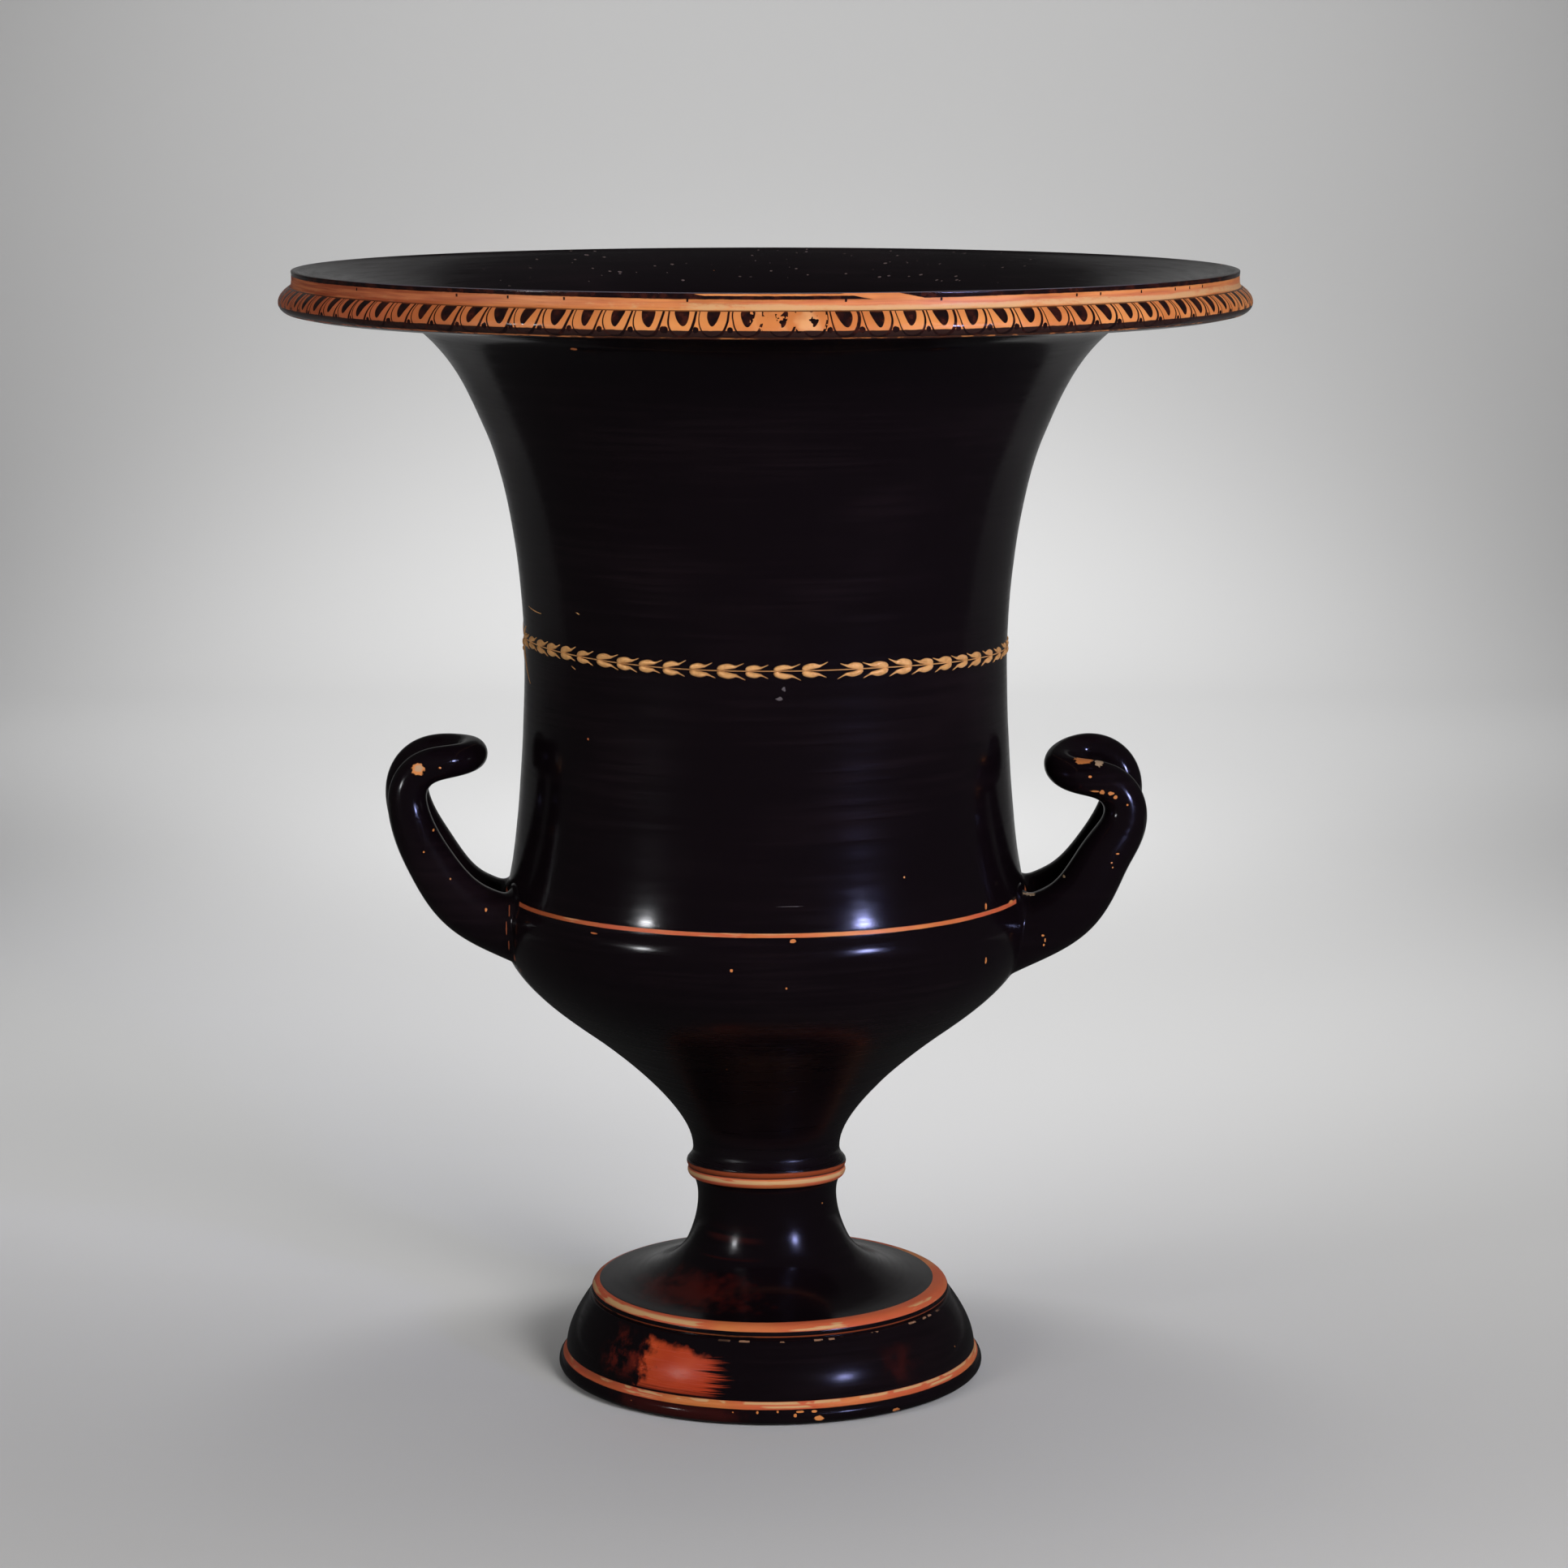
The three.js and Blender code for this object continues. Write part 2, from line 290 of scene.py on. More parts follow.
def handle_stations(lean, drop, lift):
    """Centres and rod radii from the front root over the tip to the back root."""
    arm = [[r, -spread, z, rod] for r, spread, z, rod in HANDLE_ARM]
    top, top_rod = HANDLE_ARM[-1][2:]
    middle, rod = (top + HANDLE_RISE) / 2 + 1.5, (top_rod + ROD_RISE) / 2
    arm.append([HANDLE_REACH - 2.2, -TIP_SPREAD - 1, middle, rod])
    for degrees in (0, 30, 60, 90):
        a, share = math.radians(degrees), degrees / 90
        rod = ROD_RISE + (ROD_HOOK - ROD_RISE) * share
        out, rise = HANDLE_REACH - HOOK * (1 - math.cos(a)), HANDLE_RISE + HOOK * math.sin(a)
        arm.append([out, -TIP_SPREAD, rise, rod])
    for degrees in (30, 60, 90):
        a, share = math.radians(degrees), degrees / 90
        rod = ROD_HOOK + (ROD_TIP - ROD_HOOK) * share
        out, rise = HANDLE_TIP + TIP_SPREAD * (1 - math.sin(a)), HANDLE_RISE + HOOK + lift * share
        arm.append([out, -TIP_SPREAD * math.cos(a), rise, rod])
    back = [[x, -y, z, rod * BACK_ARM] for x, y, z, rod in reversed(arm[:-1])]
    stations = np.array(arm + back)
    share = np.clip((stations[:, 2] - top) / (HANDLE_RISE - top), 0, 1)
    low = np.clip((top - stations[:, 2]) / (top - HANDLE_ARM[1][2]), 0, 1)
    stations[:, 2] += share * (lean * stations[:, 1] / TIP_SPREAD - drop)
    stations[:, 2] += BACK_ROOT_LIFT * low * (stations[:, 1] > 0)
    return stations


def flowing_curve(stations, steps):
    """Centripetal curve through the stations, sampled evenly along its length."""
    ends = [2 * stations[0] - stations[1], *stations, 2 * stations[-1] - stations[-2]]
    dense = []
    for p0, p1, p2, p3 in zip(ends, ends[1:], ends[2:], ends[3:]):
        pairs = (p0, p1), (p1, p2), (p2, p3)
        d0, d1, d2 = (max(np.linalg.norm((b - a)[:3]) ** 0.5, 1e-6) for a, b in pairs)
        m1 = ((p1 - p0) / d0 - (p2 - p0) / (d0 + d1) + (p2 - p1) / d1) * d1
        m2 = ((p2 - p1) / d1 - (p3 - p1) / (d1 + d2) + (p3 - p2) / d2) * d1
        for t in np.linspace(0, 1, 40, endpoint=False):
            dense.append(
                (2 * t**3 - 3 * t**2 + 1) * p1
                + (t**3 - 2 * t**2 + t) * m1
                + (3 * t**2 - 2 * t**3) * p2
                + (t**3 - t**2) * m2
            )
    dense = np.array(dense + [stations[-1]])
    run = np.concatenate([[0], np.cumsum(np.linalg.norm(np.diff(dense[:, :3], axis=0), axis=1))])
    even = np.linspace(0, run[-1], steps)
    return np.stack([np.interp(even, run, dense[:, k]) for k in range(4)], 1), run[-1]


def softened(values, reach):
    """The same run of values with short kinks smoothed out, its ends held."""
    span = int(reach * 3)
    weights = np.exp(-0.5 * (np.arange(-span, span + 1) / reach) ** 2)
    weights /= weights.sum()
    before = 2 * values[0] - values[span:0:-1]
    after = 2 * values[-1] - values[-2 : -span - 2 : -1]
    padded = np.concatenate([before, values, after])
    return np.stack([np.convolve(padded[:, k], weights, "valid") for k in range(values.shape[1])], 1)


def carried_frames(path):
    """Two side directions at each point, carried along the path without twist."""
    tangents = np.gradient(path, axis=0)
    tangents /= np.linalg.norm(tangents, axis=1)[:, None]
    side = np.cross(tangents[0], (0, 0, 1.0))
    sides = []
    for tangent in tangents:
        side = side - tangent * np.dot(side, tangent)
        side /= np.linalg.norm(side)
        sides.append(side)
    sides = np.array(sides)
    return sides, np.cross(tangents, sides)


def handle_mesh(wall, turn, stations):
    """A bent rod whose two roots are smeared onto the wall, as one closed skin."""
    c, s = math.cos(turn), math.sin(turn)
    stations[:, :3] = stations[:, :3] @ np.array([[c, s, 0], [-s, c, 0], [0, 0, 1]])
    curve, length = flowing_curve(stations, ROD_STEPS)
    smooth = softened(curve[:, :3], PATH_SOFTNESS * ROD_STEPS / length)
    path = smooth + (smooth - softened(smooth, PATH_SOFTNESS * ROD_STEPS / length))
    rod = softened(curve[:, 3:], ROD_SOFTNESS * ROD_STEPS / length)
    sides, ups = carried_frames(path)
    step = length / (ROD_STEPS - 1)
    columns = []
    for a in np.arange(ROD_FACETS) * TAU / ROD_FACETS:
        line = path + (sides * math.cos(a) + ups * math.sin(a)) * rod
        columns.append(skin_line(wall, line, path, step))
    rows = len(columns[0])
    vertices = np.array(columns).transpose(1, 0, 2).reshape(-1, 3)
    faces = []
    for row in range(rows - 1):
        faces += ring_faces(row * ROD_FACETS, (row + 1) * ROD_FACETS, ROD_FACETS)
    for base, flip in ((0, True), ((rows - 1) * ROD_FACETS, False)):
        x, y, z = vertices[base : base + ROD_FACETS].mean(0)
        hub = len(vertices)
        vertices = np.concatenate([vertices, [wall.place(math.atan2(x, -y), z, -3.5)]])
        for i in range(ROD_FACETS):
            a, b = base + i, base + (i + 1) % ROD_FACETS
            faces.append((hub, b, a) if flip else (hub, a, b))
    return vertices, faces


def skin_line(wall, line, path, step):
    """One lengthwise line of the handle skin, ending in a fillet on the wall at both roots."""
    gaps = wall.gaps(line)
    half = len(line) // 2
    first = int(np.argmax(gaps[:half] > 0))
    last = len(line) - 1 - int(np.argmax(gaps[::-1][:half] > 0))
    index = np.arange(len(line))

    def at(position, curve=line):
        return np.array([np.interp(position, index, curve[:, k]) for k in range(3)])

    def root(crossing, towards):
        other = crossing - towards
        share = gaps[other] / (gaps[other] - gaps[crossing])
        position = other + (crossing - other) * share
        corner = at(position)
        outward = corner - at(position, path)
        outward /= np.linalg.norm(outward)
        reach = 1.5 + 5.0 * float(smooth_share(outward[2], 0.1, 0.9))
        end = position + towards * reach * 1.15 / step
        near = at(end)
        angle = math.atan2(corner[0], -corner[1])
        normal = np.array([math.sin(angle), -math.cos(angle), -wall.slope(corner[2])])
        normal /= np.linalg.norm(normal)
        along = outward - normal * np.dot(outward, normal)
        along /= np.linalg.norm(along)
        far = corner + along * reach
        foot = wall.place(math.atan2(far[0], -far[1]), far[2], 0.02)
        sunk = wall.place(math.atan2(foot[0], -foot[1]), foot[2], -1.2)
        rows = [sunk]
        for t in np.linspace(0, 1, FILLET_ROWS):
            u = 1 - t
            rows.append(u * u * foot + 2 * u * t * corner + t * t * near)
        return rows, end

    start_rows, start = root(first, 1)
    end_rows, end = root(last, -1)
    low, high = len(line) * ROOT_SHARE, len(line) * (1 - ROOT_SHARE)
    shares = np.arange(1, ROOT_ROWS) / ROOT_ROWS
    body = [at(start + (low - start) * share) for share in shares]
    body += [at(position) for position in np.linspace(low, high, MIDDLE_ROWS)]
    body += [at(high + (end - high) * share) for share in shares]
    return start_rows + body + end_rows[::-1]


# The wreath, in millimetres along and up the wall.
WREATH_HEIGHT = 376.2
LEAF_LENGTH = 12.6
LEAF_SPREAD = 3.9
LEAF_WIDTH = 1.6
LEAF_RISE = 0.8
LEAF_PITCH = math.radians(6.28)
LEAF_STEPS = 13
STEM_WIDTH, STEM_RISE = 0.34, 0.28
STEM_STEPS = 240
WREATH_LEFT = math.radians(-84)
WREATH_RIGHT = math.radians(98)
# Where the two garlands' tips meet, how far they stay apart there, and the wall's radius.
WREATH_MEETING = math.radians(15.6)
WREATH_GAP = math.radians(1.15)
WREATH_RADIUS = 120.5

# Ribbon ends: start and sweep in degrees of turn, drop, width and rise in millimetres.
RIBBONS = (
    (1.5, -21, 8.5, 0.36, 0.28),
    (-1.5, -17, -7.0, 0.34, 0.28),
    (2.5, 6.5, 3.5, 0.5, 0.35),
    (-2.5, 6.0, -3.0, 0.5, 0.35),
)

# Gilded flicks of the brush beside the left end of the wreath: turn in degrees, height in mm.
STRAY_STROKES = (
    ((-72.9, 396.7), (-70.4, 396.0), (-67.3, 395.4), (-64.1, 395.2)),
    ((-48.4, 399.2), (-47.8, 398.9), (-47.3, 398.5)),
    ((-51.0, 372.6), (-50.4, 372.0), (-49.5, 371.2)),
)
STRAY_WIDTH, STRAY_RISE = 0.32, 0.26


def wreath_level(angle):
    """The wreath climbs a little towards the left handle, as it was drawn by eye."""
    turn = math.degrees(angle)
    climb = 2.8 * float(smooth_share(-turn, 10, 76))
    return WREATH_HEIGHT + climb - 2.4 * float(smooth_share(turn, 20, 80))


class Relief:
    """Collects small domed strokes of clay laid on the wall."""

    SECTION = ((-1, -0.3), (-0.86, 0.3), (-0.5, 0.82), (0, 1.0), (0.5, 0.82), (0.86, 0.3), (1, -0.3))

    def __init__(self):
        self.wall = Wall()
        self.vertices = []
        self.faces = []

    def stroke(self, points, widths, rises):
        """A stroke along points (angle, height), with half widths and rises at each."""
        count = len(self.SECTION)
        base = len(self.vertices)
        points = np.array(points, float)
        radius = self.wall.radius(points[0][1])
        flat = np.stack([points[:, 0] * radius, points[:, 1]], 1)
        heading = np.gradient(flat, axis=0)
        heading /= np.linalg.norm(heading, axis=1)[:, None] + 1e-9
        across = np.stack([-heading[:, 1], heading[:, 0]], 1)
        for (s, t), (ax, az), width, rise in zip(flat, across, widths, rises):
            for share, lift in self.SECTION:
                place = (s + ax * width * share) / radius, t + az * width * share
                self.vertices.append(self.wall.place(*place, lift * rise if lift > 0 else lift))
        for row in range(len(points) - 1):
            a, b = base + row * count, base + (row + 1) * count
            self.faces += [
                (a + i, b + i, b + (i + 1) % count, a + (i + 1) % count) for i in range(count)
            ]
        last = base + (len(points) - 1) * count
        self.faces.append(tuple(base + i for i in range(count)))
        self.faces.append(tuple(last + i for i in reversed(range(count))))

    def leaf_pair(self, angle, height, way, size, dice):
        """Two leaves from one bud. The tips point to the right when way is 1."""
        radius = self.wall.radius(height)
        lean = dice.uniform(-0.35, 0.35)
        for side in (1, -1):
            length = LEAF_LENGTH * size * dice.uniform(0.9, 1.06)
            spread = LEAF_SPREAD * size * dice.uniform(0.85, 1.15) * side + lean
            fat = LEAF_WIDTH * size * dice.uniform(0.9, 1.1)
            points, widths, rises = [], [], []
            for t in np.linspace(0, 1, LEAF_STEPS):
                up = spread * (0.264 * math.sin(math.pi * min(1, t * 1.5)) + 0.95 * t**1.7)
                up += side * 0.75 * (1 - t) ** 2
                round_end = math.sqrt(max(0.0, 1 - (1 - min(1, t / 0.16)) ** 2))
                tip = 1 - 0.8 * float(smooth_share(t, 0.36, 0.88))
                close = math.sqrt(max(0.03, 1 - max(0, (t - 0.9) / 0.1) ** 2))
                points.append((angle + way * length * t / radius, height + up))
                widths.append(max(fat * (0.35 + 0.65 * round_end) * tip * close, 0.16))
                rises.append(LEAF_RISE * (0.45 + 0.55 * round_end) * (0.5 + 0.5 * tip) * close)
            self.stroke(points[::way], widths[::way], rises[::way])

    def garland(self, left, meeting, right, dice):
        """Leaf pairs from both ends, with tips towards the bare meeting point."""
        for end, way in ((left, 1), (right, -1)):
            angle = meeting - way * (WREATH_GAP + LEAF_LENGTH / WREATH_RADIUS)
            while (angle - end) * way > 0:
                height = wreath_level(angle) + dice.uniform(-0.2, 0.2)
                self.leaf_pair(angle, height, way, dice.uniform(0.94, 1.05), dice)
                angle -= way * LEAF_PITCH * dice.uniform(0.95, 1.05)
        stem = [(a, wreath_level(a)) for a in np.linspace(left, right, STEM_STEPS)]
        self.stroke(stem, [STEM_WIDTH] * STEM_STEPS, [STEM_RISE] * STEM_STEPS)

    def thread(self, points, width, rise):
        """A stroke that thins towards both ends."""
        last = max(2, len(points) - 1)
        taper = [0.55 + 0.45 * math.sin(math.pi * i / last) for i in range(len(points))]
        self.stroke(points, [width * t for t in taper], [rise * t for t in taper])

    def ties(self, angle):
        """Loose ribbon ends drawn where two garlands meet above a handle."""
        level = wreath_level(angle)
        for start, drop, sweep, width, rise in RIBBONS:
            ends = np.linspace(0, 1, 12)
            points = [(angle + math.radians(start + sweep * t * t), level + drop * t) for t in ends]
            self.thread(points, width, rise)


class Field:
    """A number that varies over a surface, written as ordinary arithmetic."""

    def __init__(self, recipe, socket):
        self.recipe, self.socket = recipe, socket

    def math(self, operation, *others):
        return self.recipe.math(operation, self, *others)

    def __add__(self, other):
        return self.math("ADD", other)

    def __sub__(self, other):
        return self.math("SUBTRACT", other)

    def __rsub__(self, other):
        return self.recipe.math("SUBTRACT", other, self)

    def __mul__(self, other):
        return self.math("MULTIPLY", other)

    def __truediv__(self, other):
        return self.math("DIVIDE", other)

    def __pow__(self, other):
        return self.math("POWER", other)

    def __abs__(self):
        return self.math("ABSOLUTE")

    def __lt__(self, other):
        return self.math("LESS_THAN", other)

    def __gt__(self, other):
        return self.math("GREATER_THAN", other)

    def __or__(self, other):
        return self.math("MAXIMUM", other)

    __radd__, __rmul__, __and__ = __add__, __mul__, __mul__


class Recipe:
    """The nodes of a material or a world."""

    def __init__(self, owner):
        owner.use_nodes = True
        self.owner = owner
        self.tree = owner.node_tree
        self.tree.nodes.clear()

    def node(self, kind, settings=None, inputs=None):
        """Adds a node: its settings first, then the values or links of its sockets."""
        node = self.tree.nodes.new(kind)
        for key, value in (settings or {}).items():
            setattr(node, key, value)
        for key, value in (inputs or {}).items():
            if isinstance(key, int):
                socket = node.inputs[key]
            else:
                socket = next(s for s in node.inputs if s.name == key and s.enabled)
            value = getattr(value, "socket", value)
            if isinstance(value, bpy.types.NodeSocket):
                self.tree.links.new(value, socket)
            else:
                socket.default_value = value
        return node

    def out(self, node, name=None):
        usable = [s for s in node.outputs if s.enabled and (name is None or s.name == name)]
        return Field(self, usable[0])

    def math(self, operation, *values):
        return self.out(self.node("ShaderNodeMath", {"operation": operation}, dict(enumerate(values))))

    def vector(self, operation, *values):
        node = self.node("ShaderNodeVectorMath", {"operation": operation}, dict(enumerate(values)))
        return self.out(node)

    def length(self, x, y):
        return self.math("SQRT", x * x + y * y)

    def least(self, first, *others):
        for other in others:
            first = self.math("MINIMUM", first, other)
        return first

    def ease(self, value, low, high):
        """0 below low, 1 above high, and smooth between."""
        settings = {"interpolation_type": "SMOOTHSTEP"}
        inputs = {"Value": value, "From Min": low, "From Max": high}
        return self.out(self.node("ShaderNodeMapRange", settings, inputs))

    def band(self, value, low, high, soft):
        """1 between low and high, with soft edges."""
        return self.ease(value, low - soft, low + soft) * (1 - self.ease(value, high - soft, high + soft))

    def noise(self, vector, scale, detail, rough, dimensions="3D"):
        key = "W" if dimensions == "1D" else "Vector"
        inputs = {key: vector, "Scale": scale, "Detail": detail, "Roughness": rough}
        return self.out(self.node("ShaderNodeTexNoise", {"noise_dimensions": dimensions}, inputs), "Fac")

    def scatter(self, value):
        """A fixed random number for each whole number."""
        return self.out(self.node("ShaderNodeTexWhiteNoise", {"noise_dimensions": "1D"}, {"W": value}))

    def blend(self, share, first, second):
        """A colour that goes from first to second."""
        inputs = {"Factor": share, "A": first, "B": second}
        return self.out(self.node("ShaderNodeMix", {"data_type": "RGBA"}, inputs), "Result")

    def finish(self, colour, roughness, height, depth, ior=1.45, metallic=0.0):
        """Joins colour, roughness and surface height in one shader."""
        inputs = {"Base Color": colour, "Roughness": roughness, "IOR": ior, "Metallic": metallic}
        if height is not None:
            bump = self.node("ShaderNodeBump", None, {"Strength": 1.0, "Distance": depth, "Height": height})
            inputs["Normal"] = self.out(bump)
        shader = self.node("ShaderNodeBsdfPrincipled", None, inputs)
        self.node("ShaderNodeOutputMaterial", None, {0: shader.outputs[0]})
        return self.owner


# Tones of paint, misfiring and wear, and of painted shade and highlights, as eight bit display values.
TONES = {
    "ink": (22, 11, 12),
    "rusty_ink": (56, 24, 18),
    "band_brown": (44, 27, 24),
    "trace_brown": (72, 38, 24),
    "worn_egg": (226, 176, 124),
    "pale_vein": (214, 138, 84),
    "dark_vein": (140, 66, 40),
    "left_fillet": (136, 58, 36),
    "left_fillet_light": (176, 96, 60),
    "painted_arris_highlight": (104, 100, 112),
    "red_band": (188, 84, 56),
    "rust_edge": (150, 66, 30),
    "painted_crease_shade": (74, 34, 22),
    "left_clay": (146, 62, 34),
    "left_clay_light": (172, 84, 52),
    "red_haze": (112, 34, 22),
    "misfired": (170, 58, 30),
    "misfired_light": (190, 74, 38),
    "dash": (150, 112, 88),
    "scuff": (120, 112, 114),
    "dust": (116, 100, 98),
    "hairline": (136, 74, 48),
    "pale_chip": (176, 148, 118),
    "dirt": (92, 60, 42),
    "rubbed_gilt": (176, 118, 66),
    "painted_gilt_shade": (120, 74, 40),
    "bright_gilt": (226, 176, 116),
}


def display(*levels):
    """A linear colour from eight bit display values."""
    shares = [level / 255 for level in levels]
    return (*(v / 12.92 if v <= 0.04045 else ((v + 0.055) / 1.055) ** 2.4 for v in shares), 1.0)


class PotRecipe(Recipe):
    """A material that knows where a point of the pot lies: angle in degrees, the rest in mm."""

    def __init__(self, name):
        super().__init__(bpy.data.materials.new(name))
        self.position = self.out(self.node("ShaderNodeTexCoord"), "Object")
        split = self.node("ShaderNodeSeparateXYZ", None, {0: self.position})
        x, y, z = (Field(self, socket) for socket in split.outputs)
        self.angle = self.math("ARCTAN2", x, y * -1) * math.degrees(1)
        self.radius = self.length(x, y) * 1000
        self.facing = y * -1000 / self.radius
        self.sideways = x * 1000 / self.radius
        self.height = z * 1000

    def tone(self, name):
        """A named colour, from the panel or from the fixed tones."""
        if name in TONES:
            return display(*TONES[name])
        return (*getattr(bpy.context.scene.krater_colours, name), 1)

    def blend(self, share, first, second):
        """A colour that goes from first to second, each a tone's name or a colour."""
        first, second = (self.tone(c) if isinstance(c, str) else c for c in (first, second))
        return super().blend(share, first, second)

    def coats(self, colour, *coats):
        """Lays coats over a colour in turn, each a share and its tone."""
        for share, tone in coats:
            colour = self.blend(share, colour, tone)
        return colour

    def grain(self, scale, detail=2.0, rough=0.5):
        """Noise that is alike in all directions."""
        return self.noise(self.position, scale, detail, rough)

    def streaks(self, across, up, detail=2.0, rough=0.5):
        """Noise with its own scale across and up the pot."""
        stretched = self.vector("MULTIPLY", self.position, (across, across, up))
        return self.noise(stretched, 1.0, detail, rough)

    def pinholes(self, scale, share, near):
        """Round specks where the gloss has popped."""
        inputs = {"Vector": self.position, "Scale": scale}
        cells = self.node("ShaderNodeTexVoronoi", {"feature": "F1"}, inputs)
        draws = self.node("ShaderNodeSeparateColor", None, {0: self.out(cells, "Color")})
        chosen, size = (Field(self, socket) for socket in draws.outputs[:2])
        return (chosen < share) & (self.out(cells, "Distance") < size * near + near * 0.4)

    def spots(self, marks, ragged):
        """A mask for small marks with ragged edges."""
        mask = None
        for *centre, wide, deep, high in marks:
            offset = self.vector("SUBTRACT", self.position, [c * MM for c in centre])
            scaled = self.vector("MULTIPLY", offset, [1 / (s * MM) for s in (wide, deep, high)])
            spot = 1 - self.ease(self.vector("LENGTH", scaled) + ragged, 0.85, 1.05)
            mask = spot if mask is None else mask | spot
        return mask


# The lip: its inner edge and underside, the centre of its round, and the size of the pattern.
# Lengths run down the round in millimetres, and widths are shares of one cell.
LIP_INNER, LIP_UNDERSIDE = 231.7, 539.6
ROUND_RADIUS, ROUND_HEIGHT = 233.2, 546.2
ROUND_START, ROUND_MM_PER_DEGREE = 75, 0.1117
FILLET_EDGE = 234.9
EGG_COUNT, EGG_PITCH = 102.0, 14.7
EGG_LENGTH, EGG_WIDTH = 8.9, 0.235
ARCH_LENGTH, ARCH_WIDTH = 13.6, 0.44
DOT_DEPTH, DOT_RADIUS = 10.1, 1.2
BAND_TOP, BAND_FOOT = 10.4, 14.1
GLOSS_START = 15.2


def egg_row(pot, clay, ink_colour):
    """The eggs on the round of the lip: colour, dark mask, and place and chance in each cell."""
    wander = pot.grain(22, 1) - 0.5
    turn = pot.angle / 360 * EGG_COUNT + wander * 0.35
    cell = pot.math("FLOOR", turn)
    first, second, third = (pot.scatter(cell + k * 211.3) for k in (1, 2, 3))
    across = turn - cell - 0.5 + (pot.grain(110, 1) - 0.5) * 0.06 + (first - 0.5) * 0.06
    # Millimetres down the round from the groove.
    rise = pot.math("ARCTAN2", pot.height - ROUND_HEIGHT, pot.radius - ROUND_RADIUS) * math.degrees(1)
    down = (ROUND_START - rise) * ROUND_MM_PER_DEGREE + (pot.grain(160, 1) - 0.5) * 0.5
    share = pot.least(down / (EGG_LENGTH + (first - 0.5) * 0.8) | 0.0, 1.0)
    oval = (1 - abs((share - 0.32) / 0.68) ** 2.5) ** 0.5
    width = oval * (1 - share * 0.34) * (EGG_WIDTH + (second - 0.5) * 0.07)
    lean = (third - 0.5) * 0.2 * (share - 0.3)
    core = pot.ease(width - abs(across + lean), -0.008, 0.008) & (share < 0.999)
    arch = (across / ARCH_WIDTH) ** 2.0 + (down / ARCH_LENGTH | 0.0) ** 3.0
    pen = (pot.ease(across, -0.25, 0.25) * 0.08 + 0.1) * (0.75 + second * 0.5)
    outline = pot.ease(pen - abs(arch - 1), -0.04, 0.04)
    dot_reach = pot.length((0.5 - abs(across)) * EGG_PITCH, down - DOT_DEPTH) + (third - 0.5) * 0.5
    dot = 1 - pot.ease(dot_reach, DOT_RADIUS, DOT_RADIUS + 0.25)
    # The brown band and the start of the gloss under the eggs.
    edge = (pot.grain(420) - 0.5) * 0.5
    ebb = pot.grain(30, 1) - 0.5
    band = pot.band(down + edge * 0.6, BAND_TOP, BAND_FOOT, 0.1)
    below = pot.ease(down + edge * 1.6 + ebb * 1.6, GLOSS_START, GLOSS_START + 0.3)
    trace = pot.ease(pot.streaks(120, 300, 3, 0.7) + ebb * 0.6, 0.60, 0.5)
    # The worn stretch near the front, where black has flaked off.
    worn = 1 - pot.ease(abs(pot.angle - 2.7), 2.4, 4.4)
    flakes = pot.ease(pot.grain(250) + worn * 0.12, 0.585, 0.60)
    kept = 1 - (flakes & (worn > 0.05) & (down < BAND_TOP))
    ink = (core | outline | dot) & kept
    colour = pot.coats(
        clay,
        (worn * pot.ease(pot.grain(90), 0.4, 0.6) * 0.5, "worn_egg"),
        (band, "band_brown"),
        ((down > BAND_FOOT) & trace & (1 - ink), "trace_brown"),
        (ink | below, ink_colour),
    )
    return colour, ink | below | band * 0.9, (across, second, wander)


